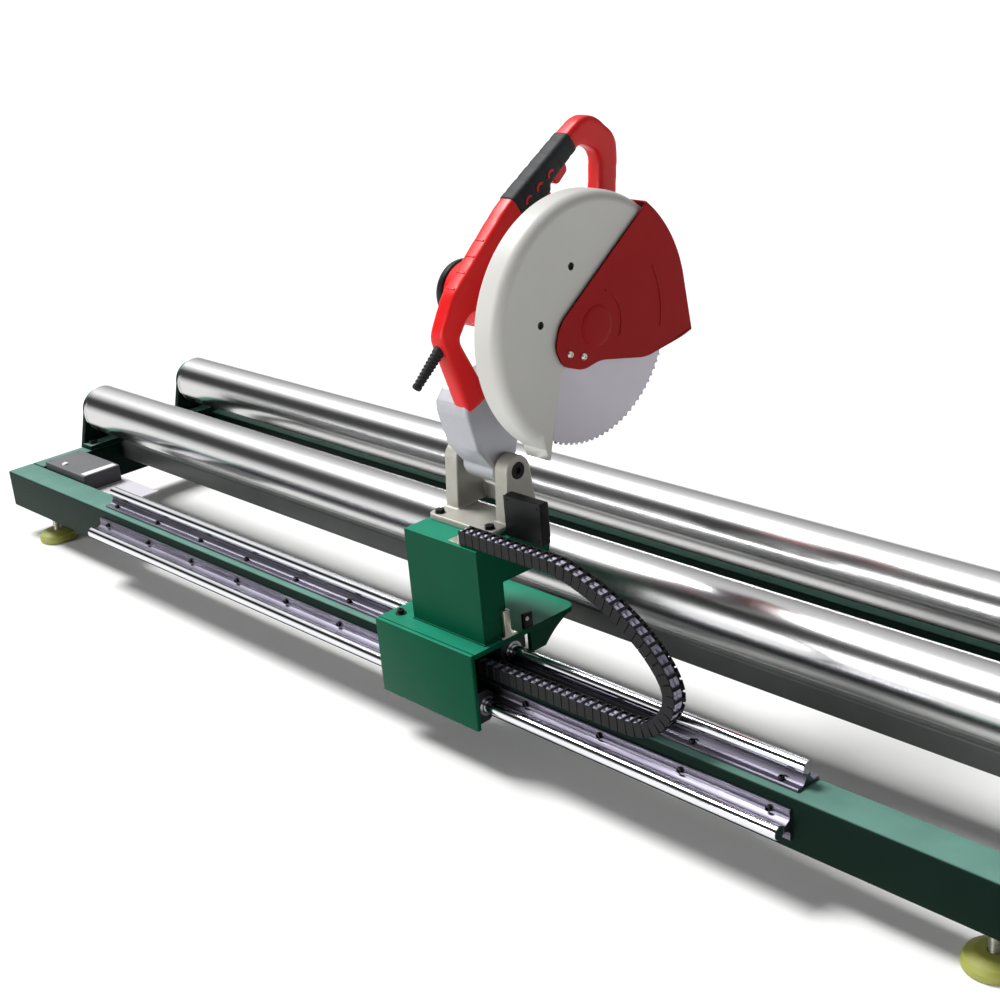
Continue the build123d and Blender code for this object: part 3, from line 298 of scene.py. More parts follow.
# %% Blocks, turnings and outlines
def round_edges(bm, edges, radius, segments):
    """Bevels edges to a round profile."""
    bmesh.ops.bevel(bm, geom=edges, offset=radius, segments=segments, affect="EDGES", profile=0.5,
                    material=-1)


def round_corner(bm, vert, setback, segments):
    """Bevels one corner of a flat face."""
    bmesh.ops.bevel(bm, geom=[vert], offset=setback, segments=segments, affect="VERTICES", profile=0.5,
                    material=-1)


def absorb(bm, part, place=Matrix()):
    """Puts one bmesh in place and adds it to another."""
    bmesh.ops.transform(part, matrix=place, verts=part.verts)
    mesh = bpy.data.meshes.new("part")
    part.to_mesh(mesh)
    part.free()
    bm.from_mesh(mesh)
    bpy.data.meshes.remove(mesh)


def add_block(bm, low, high, radius=0.0015, segments=2):
    """Block between two corners with rounded edges."""
    verts = bmesh.ops.create_cube(bm, size=1.0)["verts"]
    low, high = Vector(low), Vector(high)
    bmesh.ops.scale(bm, vec=high - low, verts=verts)
    bmesh.ops.translate(bm, vec=(low + high) / 2, verts=verts)
    round_edges(bm, list({edge for vert in verts for edge in vert.link_edges}), radius, segments)


def add_turned(bm, profile, place, steps=32):
    """Turns (distance, radius) pairs about X, then puts them in place with a matrix."""
    part = bmesh.new()
    verts = [part.verts.new((along, radius, 0)) for along, radius in profile]
    edges = [part.edges.new(pair) for pair in zip(verts, verts[1:])]
    bmesh.ops.spin(part, geom=verts + edges, axis=(1, 0, 0), cent=(0, 0, 0), angle=2 * pi, steps=steps,
                   use_merge=True)
    bmesh.ops.remove_doubles(part, verts=part.verts, dist=0.00001)
    absorb(bm, part, place)


def along_x(x, y, z):
    """Place of a turning whose axis is X."""
    return Matrix.Translation((x, y, z))


def along_z(x, y, z):
    """Place of a turning that stands up."""
    return Matrix.Translation((x, y, z)) @ Matrix.Rotation(-pi / 2, 4, "Y")


def along_y(x, y, z):
    """Place of a turning that points to the operator, towards -Y."""
    return Matrix.Translation((x, y, z)) @ Matrix.Rotation(-pi / 2, 4, "Z")


def outline(corners, radii, x, segments=6):
    """New bmesh with one flat face at x whose (y, z) corners are rounded by their radii."""
    bm = bmesh.new()
    verts = [bm.verts.new((x, y, z)) for y, z in corners]
    bm.faces.new(verts)
    setbacks = []
    for index, radius in enumerate(radii):
        here = verts[index].co
        before = (verts[index - 1].co - here).normalized()
        after = (verts[(index + 1) % len(verts)].co - here).normalized()
        setbacks.append(radius / tan(before.angle(after) / 2))
    for vert, setback in zip(verts, setbacks):
        if setback > 0:
            round_corner(bm, vert, setback, segments)
    return bm


def thicken(bm, width):
    """Extrudes every face of a flat bmesh along X."""
    pushed = bmesh.ops.extrude_face_region(bm, geom=bm.faces[:])["geom"]
    verts = [item for item in pushed if isinstance(item, bmesh.types.BMVert)]
    bmesh.ops.translate(bm, vec=(width, 0, 0), verts=verts)


def about_arbor(points):
    """Turns (y, z) in millimetres from the arbor into places on the machine."""
    return [(arbor.y + y / 1000, arbor.z + z / 1000) for y, z in points]


print("shape helpers ready")

# %% [markdown]
# ## Frame beams
# The frame is welded from rectangular steel tube. Such tube has corners of about 4 mm radius, which catch
# a line of light, so each beam is a block with rounded edges.

# %% Beams
BEAMS = ("front_beam", "rear_beam", "left_cross_member", "right_cross_member", "tie_beam")
for name in BEAMS:
    bm = bmesh.new()
    low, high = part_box(name)
    add_block(bm, low, high, 0.004, 3)
    coat = "tie_grey" if name == "tie_beam" else "frame_green"
    make_piece(name + "_tube", bm, "frame", "frame_green", name, finish_name=coat)
print(len(BEAMS), "beams")

# %% [markdown]
# ## Weld beads
# Where tubes meet, a welder runs a bead: a row of small overlapping ripples. One ripple is a flattened
# ball, repeated every 3 mm along the joint.


# %% Welds
def add_weld(bm, start, end, radius=0.003):
    """Row of ripples from one point to another."""
    start, end = Vector(start), Vector(end)
    count = max(2, round((end - start).length / 0.004))
    for index in range(count + 1):
        place = Matrix.Translation(start.lerp(end, index / count)) @ Matrix.Scale(radius, 4)
        bmesh.ops.create_icosphere(bm, subdivisions=1, radius=1.0, matrix=place)


bm = bmesh.new()
for name, side in (("left_cross_member", 1), ("right_cross_member", 0)):
    low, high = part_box(name)
    x = (low, high)[side].x
    for y in (low.y, high.y):
        add_weld(bm, (x, y, low.z + 0.006), (x, y, high.z - 0.006))
        add_weld(bm, (low.x + 0.006, y, high.z - 0.001), (high.x - 0.006, y, high.z - 0.001), 0.0022)
low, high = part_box("tie_beam")
for x in (low.x, high.x):
    for y in (low.y, high.y):
        add_weld(bm, (x, y, low.z + 0.004), (x, y, high.z - 0.004))
make_piece("frame_welds", bm, "frame", "frame_green", crease=80)
low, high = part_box("column")
bm = bmesh.new()
deck_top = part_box("carriage_plate")[1].z
TUBE_DEPTH = 0.048
for y in (low.y, low.y + TUBE_DEPTH):
    add_weld(bm, (low.x, y, deck_top), (high.x, y, deck_top), 0.0025)
for x in (low.x, high.x):
    add_weld(bm, (x, low.y, deck_top), (x, low.y + TUBE_DEPTH, deck_top), 0.0025)
make_piece("column_welds", bm, "carriage", "carriage_green", crease=80)
print("welds done")

# %% [markdown]
# ## Rollers
# The roll lies on two steel tubes, ground and polished. A turned profile gives the true round, the rolled
# lip at each end, and a shallow groove beside it that shows as a thin bright ring.

# %% Rollers
for body in ("front_roller", "rear_roller"):
    node = body + "_tube"
    low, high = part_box(node)
    radius = (high.z - low.z) / 2
    half = (high.x - low.x) / 2
    inner = radius - 0.004
    lip = [(half, inner), (half, radius - 0.0015), (half - 0.0015, radius), (half - 0.008, radius),
           (half - 0.0085, radius - 0.0006), (half - 0.0105, radius - 0.0006), (half - 0.011, radius)]
    profile = [(-x, r) for x, r in lip] + lip[::-1] + [(-half, inner)]
    bm = bmesh.new()
    place = middle(node)
    add_turned(bm, profile, along_x(*place), 96)
    make_piece(body + "_shell", bm, body, "roller_steel", node)
print("two rollers turned")

# %% [markdown]
# ## Feet
# Each levelling foot is a moulded pad with a ribbed rim, a threaded screw and a lock nut. The thread is
# drawn as rings at the real 2 mm pitch.

# %% Feet
low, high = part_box("foot_pads")
pad_r, pad_h = 0.04, high.z
THREAD_PITCH = 0.002
bm_pads, bm_screws = bmesh.new(), bmesh.new()
for x in (low.x + pad_r, high.x - pad_r):
    for y in (low.y + pad_r, high.y - pad_r):
        pad = [(0.0, 0.0), (0.0, pad_r - 0.002), (0.002, pad_r), (0.01, pad_r), (0.012, pad_r - 0.002),
               (0.0165, pad_r - 0.0035), (pad_h - 0.001, pad_r - 0.014), (pad_h, pad_r - 0.018), (pad_h,
                                                                                                  0.009),
               (0.012, 0.0085)]
        add_turned(bm_pads, pad, along_z(x, y, 0), 48)
        screw = [(0.012, 0.0078)]
        for index in range(24):
            at = 0.0125 + index * THREAD_PITCH
            screw += [(at, 0.0068), (at + THREAD_PITCH / 2, 0.0079)]
        screw += [(0.0599, 0.0078), (0.0599, 0)]
        add_turned(bm_screws, screw, along_z(x, y, 0), 24)
make_piece("levelling_pads", bm_pads, "frame", "foot_green", "foot_pads")
make_piece("levelling_screws", bm_screws, "frame", "fastener_zinc", "foot_screws")
print("four feet")

# %% [markdown]
# ## Rails
# A supported round rail is a hardened shaft screwed to an extruded aluminium profile: a flanged foot, a
# web that narrows, and a cradle. The profile is one face drawn end on, then extruded along the beam.


# %% Rail profiles
def add_rail(node, shaft_node, on_top):
    """Extrudes the support's profile between the ends of its part."""
    low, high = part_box(node)
    axis = middle(shaft_node)
    half = [(23, 0.0), (23, 3.8), (21.5, 5.0), (14.5, 5.0), (14.5, 4.4), (12, 4.4), (12, 5.0), (9, 6.2),
            (6.2, 11), (4.5, 13), (4.5, 15.5), (6.6, 18.0)]
    ring = [(-w, h) for w, h in half] + [(0, 16.8)] + [(w, h) for w, h in reversed(half)]
    bm = bmesh.new()
    verts = []
    for w, h in ring:
        up = (h - 27) / 1000
        side = w / 1000
        y, z = (axis.y + side, axis.z + up) if on_top else (axis.y - up, axis.z + side)
        verts.append(bm.verts.new((low.x, y, z)))
    bm.faces.new(verts)
    thicken(bm, high.x - low.x)
    make_piece(node + "_extrusion", bm, "frame", "rail_aluminium", node, crease=20)


def add_shaft(node):
    """Ground shaft with chamfered ends."""
    low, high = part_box(node)
    axis, half, r = middle(node), (high.x - low.x) / 2, (high.z - low.z) / 2
    bm = bmesh.new()
    profile = [(-half, 0), (-half, r - 0.001), (-half + 0.001, r), (half - 0.001, r), (half, r - 0.001),
               (half, 0)]
    add_turned(bm, profile, along_x(*axis), 48)
    make_piece(node + "_ground", bm, "frame", "shaft_steel", node)


for side, on_top in (("top", True), ("front", False)):
    add_rail(side + "_rail_support", side + "_rail_shaft", on_top)
    add_shaft(side + "_rail_shaft")
print("rails done")

# %% [markdown]
# ## Cap screws
# Socket cap screws hold the rails. Each is a turned head with a hollow socket, kept to a few dozen faces
# because there are dozens of them.

# %% Rail screws
low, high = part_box("rail_bolts")
HEAD = [(0.0, 0.0045), (0.004, 0.0045), (0.005, 0.0038), (0.005, 0.0024), (0.002, 0.0022), (0.002, 0.0)]
COUNT = 12
SCREW_OFFSET = 0.015
bm = bmesh.new()
top, face = middle("top_rail_shaft"), middle("front_rail_shaft")
for index in range(COUNT):
    x = low.x + 0.0045 + index * (high.x - low.x - 0.009) / (COUNT - 1)
    for offset in (-SCREW_OFFSET, SCREW_OFFSET):
        add_turned(bm, HEAD, along_z(x, top.y + offset, high.z - 0.005), 12)
        add_turned(bm, HEAD, along_y(x, low.y + 0.005, face.z + offset), 12)
make_piece("rail_screws", bm, "frame", "fastener_black", "rail_bolts")
print(COUNT * 4, "screws")

# %% [markdown]
# ## Carriage plates
# The carriage is two laser-cut plates welded at a right angle. The front cover is a flat plate with eased
# edges, so a block with a small bevel is enough; a folded strip at its right edge closes the gap behind it.

# %% Carriage cover and trims
low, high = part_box("carriage_cover")
bm = bmesh.new()
add_block(bm, low, high, 0.0022, 3)
make_piece("cover_plate", bm, "carriage", "carriage_green", "carriage_cover")
bm = bmesh.new()
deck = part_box("carriage_plate")
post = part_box("column")
edge_x, front_y, deck_z = deck[1].x, post[0].y, deck[1].z
add_block(bm, (post[1].x + 0.001, front_y + 0.036, deck_z), (edge_x, front_y + 0.048, deck_z + 0.045),
          0.001)
add_block(bm, (edge_x - 0.016, front_y + 0.03, deck_z), (edge_x, front_y + 0.06, deck_z + 0.003), 0.0008)
make_piece("switch_bracket", bm, "carriage", "fastener_zinc")
print("cover", [round(v, 3) for v in high - low])

# %% [markdown]
# ## Screws in the carriage
# Black cap screws with washers fix the deck to the bearing blocks near its left edge, and two hexagon
# screws hold the saw's base to the column.


# %% Carriage screws
def add_cap_screw(bm, place, s):
    """Socket head on a washer; s is the head's radius."""
    add_turned(bm, [(0.0, 1.55 * s), (0.2 * s, 1.55 * s), (0.22 * s, 1.05 * s), (0.24 * s, s), (1.1 * s, s),
                    (1.22 * s, 0.85 * s), (1.22 * s, 0.5 * s), (0.6 * s, 0.48 * s), (0.6 * s,
                                                                                     0.0)], place, 24)


bm = bmesh.new()
low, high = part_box("carriage_bolts")
for y in (low.y + 0.0065, -0.1625):
    add_cap_screw(bm, along_z(low.x + 0.0065, y, deck[1].z), 0.0058)
base_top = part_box("saw_base")[0].z + 0.01
for x in (-0.056, 0.056):
    place = along_z(middle("saw_base").x + x, low.y + 0.0675, base_top)
    hexagon = [(0, 0.0088), (0.001, 0.0088), (0.0012, 0.0078), (0.0055, 0.0078), (0.006, 0.006), (0.006, 0)]
    add_turned(bm, hexagon, place, 6)
make_piece("carriage_screws", bm, "carriage", "fastener_black", "carriage_bolts")
print("carriage screws done")

# %% [markdown]
# ## Bearing ends
# An open ball bushing sits in each black block. Its steel ring shows at the block's end, open below where
# the rail's web passes. A closed profile spun through less than a full turn makes that gap.


# %% Bearing rings
def add_open_ring(bm, x, centre, inner, outer, start, sweep, width):
    """Ring about a line along X, open over part of its turn; angles start from +Y."""
    part = bmesh.new()
    points = [(0, inner), (0, outer - 0.0005), (0.0005, outer), (width, outer), (width, inner)]
    verts = [part.verts.new((x + along, r * cos(start), r * sin(start))) for along, r in points]
    face = part.faces.new(verts)
    bmesh.ops.spin(part, geom=[face], axis=(1, 0, 0), cent=(0, 0, 0), angle=sweep, steps=28)
    bmesh.ops.translate(part, vec=(0, centre.y, centre.z), verts=part.verts)
    absorb(bm, part)


bm = bmesh.new()
for node, opening in (("top", -pi / 2), ("front", 0.0)):
    low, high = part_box(node + "_bearing_blocks")
    axis = middle(node + "_rail_shaft")
    gap = radians(38)
    for x in (low.x - 0.0012, low.x + 0.05, high.x - 0.0512, high.x):
        add_open_ring(bm, x, axis, 0.0112, 0.0155, opening + gap, 2 * pi - 2 * gap, 0.0012)
make_piece("bearing_rings", bm, "carriage", "bearing_steel")
print("bearing rings done")

# %% [markdown]
# ## Castings
# The saw's base, arm and gear case are sand-cast and fettled by hand, so no edge is sharp. Each starts as a
# merged copy of its part. A voxel remesh gives it an even skin, and smoothing rounds every edge by a few
# millimetres, as a mould does.


# %% Softened copies
def round_skin(piece, voxel_mm, passes):
    """Remeshes a piece evenly and smooths its edges round."""
    skin = piece.modifiers.new("skin", "REMESH")
    skin.mode = "VOXEL"
    skin.voxel_size = voxel_mm / 1000
    skin.use_smooth_shade = True
    smooth = piece.modifiers.new("rounding", "SMOOTH")
    smooth.factor = 0.5
    smooth.iterations = passes
    return freeze(piece)


def soften(name, node, body, slot, voxel_mm, passes):
    """Merged copy of a part with an even, smoothed skin."""
    bm = bmesh.new()
    bm.from_mesh(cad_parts[node].data)
    piece = round_skin(make_piece(name, bm, None, slot, node, crease=180), voxel_mm, passes)
    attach(piece, body)
    print(name, len(piece.data.polygons), "faces")


soften("arm_cast", "arm_casting", "head", "cast_silver", 2.0, 6)
soften("base_cast", "saw_base", "carriage", "cast_base", 1.6, 4)
soften("gear_case_cast", "gear_case", "head", "cast_silver", 1.8, 4)

# %% [markdown]
# ## Return spring
# A torsion spring on the pivot pin lifts the saw. It is wire wound three turns; a circle spun with a step
# along the axis winds it.

# %% Spring
low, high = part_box("return_spring")
wire = 0.0012
bm = bmesh.new()
first = Matrix.Translation((low.x + wire, pivot.y + (high.y - low.y) / 2 - wire, pivot.z))
ring = bmesh.ops.create_circle(bm, segments=10, radius=wire, matrix=first)
turns, steps = 3, 90
bmesh.ops.spin(bm, geom=ring["verts"] + bm.edges[:], axis=(1, 0, 0), cent=pivot,
               dvec=((high.x - low.x - 2 * wire) / steps, 0, 0), angle=2 * pi * turns, steps=steps)
bmesh.ops.holes_fill(bm, edges=bm.edges, sides=0)
make_piece("torsion_spring", bm, "carriage", "spring_steel", "return_spring", crease=60)
print("spring of", turns, "turns")

# %% [markdown]
# ## Boxes and switches
# The small moulded boxes are a body and a lid with a screw in each corner. One function sets the screws of
# the terminal box on the column and of the control box in the frame's corner.


# %% Moulded boxes
def add_lid_screws(bm, low, high, axis, face, inset=0.007, radius=0.0024):
    """Four small screws on one face of a box."""
    head = [(0, radius), (0.0006, radius), (0.001, 0.7 * radius), (0.001, 0)]
    for x in (low.x + inset, high.x - inset):
        if axis == "z":
            places = [along_z(x, y, face) for y in (low.y + inset, high.y - inset)]
        else:
            places = [along_y(x, face, z) for z in (low.z + inset, high.z - inset)]
        for place in places:
            add_turned(bm, head, place, 12)


low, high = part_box("junction_box")
bm = bmesh.new()
add_block(bm, (low.x, low.y + 0.0045, low.z), high, 0.003, 3)
step = 0.0006
add_block(bm, (low.x + step, low.y + 0.001, low.z + step), (high.x - step, low.y + 0.004, high.z - step),
          0.0014)
add_lid_screws(bm, low, high, "y", low.y + 0.001)
make_piece("terminal_box", bm, "carriage", "black_plastic", "junction_box")

low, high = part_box("switch_box")
bm = bmesh.new()
add_lid_screws(bm, low, high, "z", high.z - 0.001, 0.01, 0.003)
make_piece("control_box_screws", bm, "frame", "fastener_zinc")
bm = bmesh.new()
add_block(bm, (high.x - 0.022, low.y + 0.006, high.z - 0.001),
          (high.x - 0.004, high.y - 0.006, high.z + 0.0007), 0.0005)
make_piece("control_box_plate", bm, "frame", "button_white")
print("boxes done")

# %% [markdown]
# ## Switches
# The limit switch at the column stops the carriage: a black body with a metal plunger. The push button on
# the control box is a turned dome that moves by itself.

# %% Limit switch and push button
low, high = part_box("limit_switch")
bm = bmesh.new()
add_block(bm, low, high, 0.001, 2)
make_piece("limit_switch_body", bm, "carriage", "black_plastic", "limit_switch")
bm = bmesh.new()
centre = middle("limit_switch")
add_turned(bm, [(0, 0), (0, 0.0035), (0.0008, 0.0035), (0.001, 0.003), (0.001, 0)],
           along_x(high.x, centre.y - 0.003, centre.z + 0.004), 20)
make_piece("limit_switch_plunger", bm, "carriage", "fastener_zinc")

low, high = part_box("switch_button")
centre, r, tall = middle("switch_button"), (high.x - low.x) / 2, high.z - low.z
bm = bmesh.new()
dome = [(0, r), (tall - 0.003, r), (tall - 0.0012, r - 0.0008), (tall - 0.0003, r - 0.003), (tall, 0)]
add_turned(bm, dome, along_z(centre.x, centre.y, low.z), 32)
make_piece("push_button", bm, "button", "button_white", "switch_button")
print("switches done")

# %% [markdown]
# ## Energy chain
# A nylon chain carries the cables to the moving carriage. Each link is two side plates and two crossbars;
# the cables show between the bars. The links follow one smooth line: along the top, down round the bend, and
# back along the beam. A Bezier curve between the bend's points gives that line. The upper run takes the
# droop of the bend with it and the lower run takes its foot.

# %% Chain line
upper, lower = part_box("chain_upper_run"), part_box("chain_lower_run")
top_z, low_z = middle("chain_upper_run").z, middle("chain_lower_run").z
chain_y = middle("chain_upper_run").y
BEND_DEPTH = 0.209
fall = (top_z - low_z) / BEND_DEPTH
BEND = [(0, 0), (0.08, -0.019), (0.147, -0.052), (0.196, -0.095), (0.215, -0.136), (0.199, -0.176),
        (0.164, -0.202), (lower[1].x - upper[1].x, (low_z - top_z) / fall)]
STRETCH = 23
bend = [Vector((upper[1].x + x, chain_y, top_z + z * fall)) for x, z in BEND]


def smooth_line(points, first, last):
    """Dense points on a smooth line whose end directions are first and last."""
    slopes = [first] + [(b - a) / 2 for a, b in zip(points, points[2:])] + [last]
    line = []
    for a, b, sa, sb in zip(points, points[1:], slopes, slopes[1:]):
        reach = (b - a).length / 3
        line += interpolate_bezier(a, a + sa.normalized() * reach, b - sb.normalized() * reach, b,
                                   STRETCH + 1)[:-1]
    return line + [points[-1]]


def stations(line, pitch):
    """Evenly spaced places on a line, each with the turn that lays X along it."""
    total = sum((b - a).length for a, b in zip(line, line[1:]))
    count = max(1, round(total / pitch))
    step = total / count
    places, done, target = [], 0.0, step / 2
    for a, b in zip(line, line[1:]):
        run = (b - a).length
        while target <= done + run and len(places) < count:
            here = a.lerp(b, (target - done) / run)
            heading = b - a
            places.append(Matrix.Translation(here) @ Matrix.Rotation(-atan2(heading.z, heading.x), 4, "Y"))
            target += step
        done += run
    return places, step


def row(a, b):
    """Straight line between two points."""
    return [a.lerp(b, i / 60) for i in range(61)]


loop_line = smooth_line(bend, Vector((1, 0, 0)), Vector((-1, 0, 0)))
DROOP, FOOT = 2 * STRETCH, 6 * STRETCH
LINES = {
    "upper": row(Vector((upper[0].x, chain_y, top_z)), bend[0])[:-1] + loop_line[: DROOP + 1],
    "bend": loop_line[DROOP : FOOT + 1],
    "lower": loop_line[FOOT:-1] + row(bend[-1], Vector((lower[0].x, chain_y, low_z))),
}
print({name: len(line) for name, line in LINES.items()})

# %% [markdown]
# ## Chain links
# A link is made at the origin and set down at each station. It keeps to blocks with their edges just
# broken, because there are dozens of them.

# %% Links
PITCH = 0.0155
WIDTH = upper[1].y - upper[0].y
TALL = upper[1].z - upper[0].z


def add_link(bm, place, pitch):
    """Side plates and crossbars of one link."""
    part = bmesh.new()
    w, h, p = WIDTH / 2, TALL / 2, pitch / 2
    for side in (-1, 1):
        near, far = sorted((side * (w - 0.0024), side * w))
        add_block(part, (-p * 0.94, near, -h + 0.0004), (p * 0.94, far, h - 0.0004), 0.0006, 1)
        near, far = sorted((side * (w - 0.0034), side * (w - 0.0016)))
        add_block(part, (-p * 1.12, near, -h + 0.003), (p * 1.12, far, h - 0.003), 0.0008, 1)
        near, far = sorted((side * (h - 0.0022), side * h))
        add_block(part, (-p * 0.3, -w + 0.0006, near), (p * 0.3, w - 0.0006, far), 0.0006, 1)
    absorb(bm, part, place)


def add_hose(bm, place, pitch):
    """Cables inside one link."""
    half = pitch * 0.56
    part = bmesh.new()
    for y, r in ((-0.0047, 0.0045), (0.0045, 0.0044)):
        for z in (-0.0042, 0.0042):
            add_turned(part, [(-half, 0), (-half, r), (half, r), (half, 0)], along_x(0, y, z), 10)
    absorb(bm, part, place)


print("link", round(PITCH * 1000, 1), "mm long")

# %% [markdown]
# ## How the chain follows
# The bend travels at half the carriage's speed, so the runs beside it grow and shrink. Each run is cut in
# six groups, and each group becomes a piece of its own whose place is baked into its mesh; the bend sits on
# the chain_turn body.


def follow(piece, other, x_from, x_to, share_from, share_to):
    """Bakes a piece of chain's place into its mesh."""
    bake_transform(piece)


NODES = {"upper": "chain_upper_run", "bend": "chain_bend", "lower": "chain_lower_run"}
MOVES = {"upper": ("carriage", 1.0, 0.5), "lower": ("chain_turn", 1.0, 0.0)}
GROUPS = {"upper": 6, "bend": 1, "lower": 6}
for name, line in LINES.items():
    places, step = stations(line, PITCH)
    groups = GROUPS[name]
    for group in range(groups):
        chosen = range(len(places) * group // groups, len(places) * (group + 1) // groups)
        links, hose = bmesh.new(), bmesh.new()
        for index in chosen:
            add_link(links, places[index], step)
            add_hose(hose, places[index], step)
        label = name if groups == 1 else f"{name}_{group + 1}"
        body = "chain_turn" if name == "bend" else None
        pair = (
            make_piece("chain_links_" + label, links, body, "black_plastic", NODES[name]),
            make_piece("chain_cables_" + label, hose, body, "black_plastic", finish_name="hose_grey"),
        )
        if body is None:
            other, share_start, share_end = MOVES[name]
            ends = [chosen[0] / len(places), (chosen[-1] + 1) / len(places)]
            xs = [line[0].x + (line[-1].x - line[0].x) * end for end in ends]
            shares = [share_start + (share_end - share_start) * end for end in ends]
            for piece in pair:
                follow(piece, other, *xs, *shares)
    print(name, len(places), "links of", round(step * 1000, 1), "mm in", groups, "groups")

# %% [markdown]
# ## Motor
# The motor's shell is moulded in the handle's red plastic, with cooling ribs round it, and a black rubber
# buffer ring protects its end. Both are turned profiles; radial ribs on the end face let the air in.

# %% Motor shell and end ring
low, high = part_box("motor_housing")
axis = middle("motor_housing")
r = (high.z - low.z) / 2
start = low.x
ribs = []
for index in range(5):
    at = 0.05 + index * 0.012
    ribs += [(at, r - 0.0005), (at + 0.002, r), (at + 0.005, r), (at + 0.007, r - 0.0005)]
bm = bmesh.new()
profile = [(-0.004, 0), (-0.004, r - 0.008), (0.0, r - 0.003), (0.004, r - 0.0005)] + ribs + [
    (high.x - start, r - 0.0005), (high.x - start, 0)]
add_turned(bm, profile, along_x(start, axis.y, axis.z), 64)
make_piece("motor_shell", bm, "head", "red_plastic", "motor_housing")
low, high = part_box("motor_cap")
bm = bmesh.new()
profile = [(0.003, 0.0), (0.003, 0.028), (0.0, 0.031), (0.0, 0.038), (0.003, 0.044), (0.008, 0.048),
           (0.013, r),
           (0.0195, r), (0.022, r - 0.002), (0.022, 0)]
add_turned(bm, profile, along_x(low.x, axis.y, axis.z), 64)
for index in range(12):
    rib = bmesh.new()
    add_block(rib, (0.0012, -0.0012, 0.008), (0.006, 0.0012, 0.029), 0.0006, 1)
    absorb(bm, rib, along_x(low.x, axis.y, axis.z) @ Matrix.Rotation(index * pi / 6, 4, "X"))
make_piece("motor_end_ring", bm, "head", "black_plastic", "motor_cap")
print("motor radius", round(r, 4))

# %% [markdown]
# ## Upper guard
# The guard is pressed from sheet: a flat face, a broad rounded shoulder, and a rim that wraps the blade.
# Its outline is an arc about the arbor with a few more corners, and the shoulder is a wide bevel. These
# functions serve both guards and, for the hole in its loop, the handle.


# %% Arc outlines and sheet
def arc_face(x, radius, first, last, rest, steps):
    """Flat face at x: an arc about the arbor from first to last degrees, then other points."""
    bm = bmesh.new()
    start = bm.verts.new((x, arbor.y + radius * cos(radians(first)),
                          arbor.z + radius * sin(radians(first))))
    bmesh.ops.spin(bm, geom=[start], axis=(1, 0, 0), cent=arbor, angle=radians(last - first), steps=steps)
    ring = bm.verts[:]
    ring += [bm.verts.new((x, y, z)) for y, z in about_arbor(rest)]
    for a, b in zip(ring, ring[1:] + ring[:1]):
        if bm.edges.get((a, b)) is None:
            bm.edges.new((a, b))
    bm.faces.new(ring)
    return bm


def from_arbor(vert):
    """Distance of a vertex from the arbor's line."""
    return (vert.co.yz - arbor.yz).length


def on_arc(edge, x, radius):
    """Whether an edge lies at x on a circle about the arbor."""
    return all(abs(v.co.x - x) < 1e-5 and abs(from_arbor(v) - radius) < 2e-4 for v in edge.verts)


def thicken_sheet(piece, thickness):
    """Gives a pressed sheet its thickness on the inside."""
    sheet = piece.modifiers.new("sheet", "SOLIDIFY")
    sheet.thickness = thickness
    sheet.offset = -1.0
    return freeze(piece)


def flatten_shading(piece):
    """Lets the large flat faces decide the shading, so that bends stay at the edges."""
    piece.modifiers.new("flats", "WEIGHTED_NORMAL").keep_sharp = True
    return freeze(piece)


def cut_away(piece, tool):
    """Takes the tool's volume out of a piece, then removes the tool."""
    cut = piece.modifiers.new("cut", "BOOLEAN")
    cut.object = tool
    cut.solver = "EXACT"
    freeze(piece)
    bpy.data.objects.remove(tool)


def drill(piece, holes, radius, near, far):
    """Cuts round holes along X through a piece."""
    bm = bmesh.new()
    for y, z in holes:
        add_turned(bm, [(near, 0), (near, radius), (far, radius), (far, 0)], along_x(0, y, z), 32)
    cut_away(piece, make_piece(piece.name + "_drill", bm, None, "fastener_black"))


print("sheet helpers ready")

# %% [markdown]
# ## Pressing the upper guard
# The face is extruded to the rim's width, and the walls that a saw needs open are deleted before the sheet
# gets its thickness. Two holes are drilled in the face, each with a black disc set just behind it as painted
# shade, so that the holes read dark; one rivet sits near the top.

# %% Upper guard
low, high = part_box("upper_guard")
GUARD_R = 0.192
face_x, back_x = high.x, low.x
rest = [(-112.9, -155.3), (-108, -173), (-72, -50), (0, 0)]
bm = arc_face(face_x, GUARD_R, 40, 228, rest, 64)
thicken(bm, back_x - face_x)
INNER = 0.1
open_faces = [f for f in bm.faces if abs(f.normal.x) < 0.5 and any(from_arbor(v) < INNER for v in f.verts)]
bmesh.ops.delete(bm, geom=open_faces, context="FACES_ONLY")
bm.normal_update()
round_edges(bm, [e for e in bm.edges if on_arc(e, face_x, GUARD_R)], 0.017, 6)
round_edges(bm, [e for e in bm.edges if on_arc(e, back_x, GUARD_R)], 0.004, 3)
guard = make_piece("guard_pressing", bm, None, "guard_silver", "upper_guard", crease=30)
thicken_sheet(guard, 0.0025)
HOLES = about_arbor([(-38, 95), (-105, 26)])
drill(guard, HOLES, 0.0058, face_x - 0.006, face_x + 0.006)
flatten_shading(guard)
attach(guard, "head")
# Black discs just behind the two holes: painted shade that darkens the holes.
bm = bmesh.new()
for y, z in HOLES:
    hole_shade_disc = [(-0.0055, 0.0075), (-0.003, 0.0075), (-0.003, 0.004), (-0.0045, 0.0035), (-0.0045, 0)]
    add_turned(bm, hole_shade_disc, along_x(face_x, y, z), 24)
make_piece("guard_hole_shade_discs", bm, "head", "seal_black")
bm = bmesh.new()
y, z = about_arbor([(-21, 171)])[0]
add_turned(bm, [(-0.004, 0.0035), (-0.001, 0.0035), (-0.0004, 0.0026), (-0.0004, 0)], along_x(face_x, y, z),
           20)
make_piece("guard_rivet", bm, "head", "fastener_zinc")
print("guard", len(guard.data.polygons), "faces")

# %% [markdown]
# ## Moving guard
# The red guard swings about the arbor and covers the blade's free side. It is moulded: a broad flat side,
# a rim over the blade's edge, a raised hub, and ribs that stiffen the side.

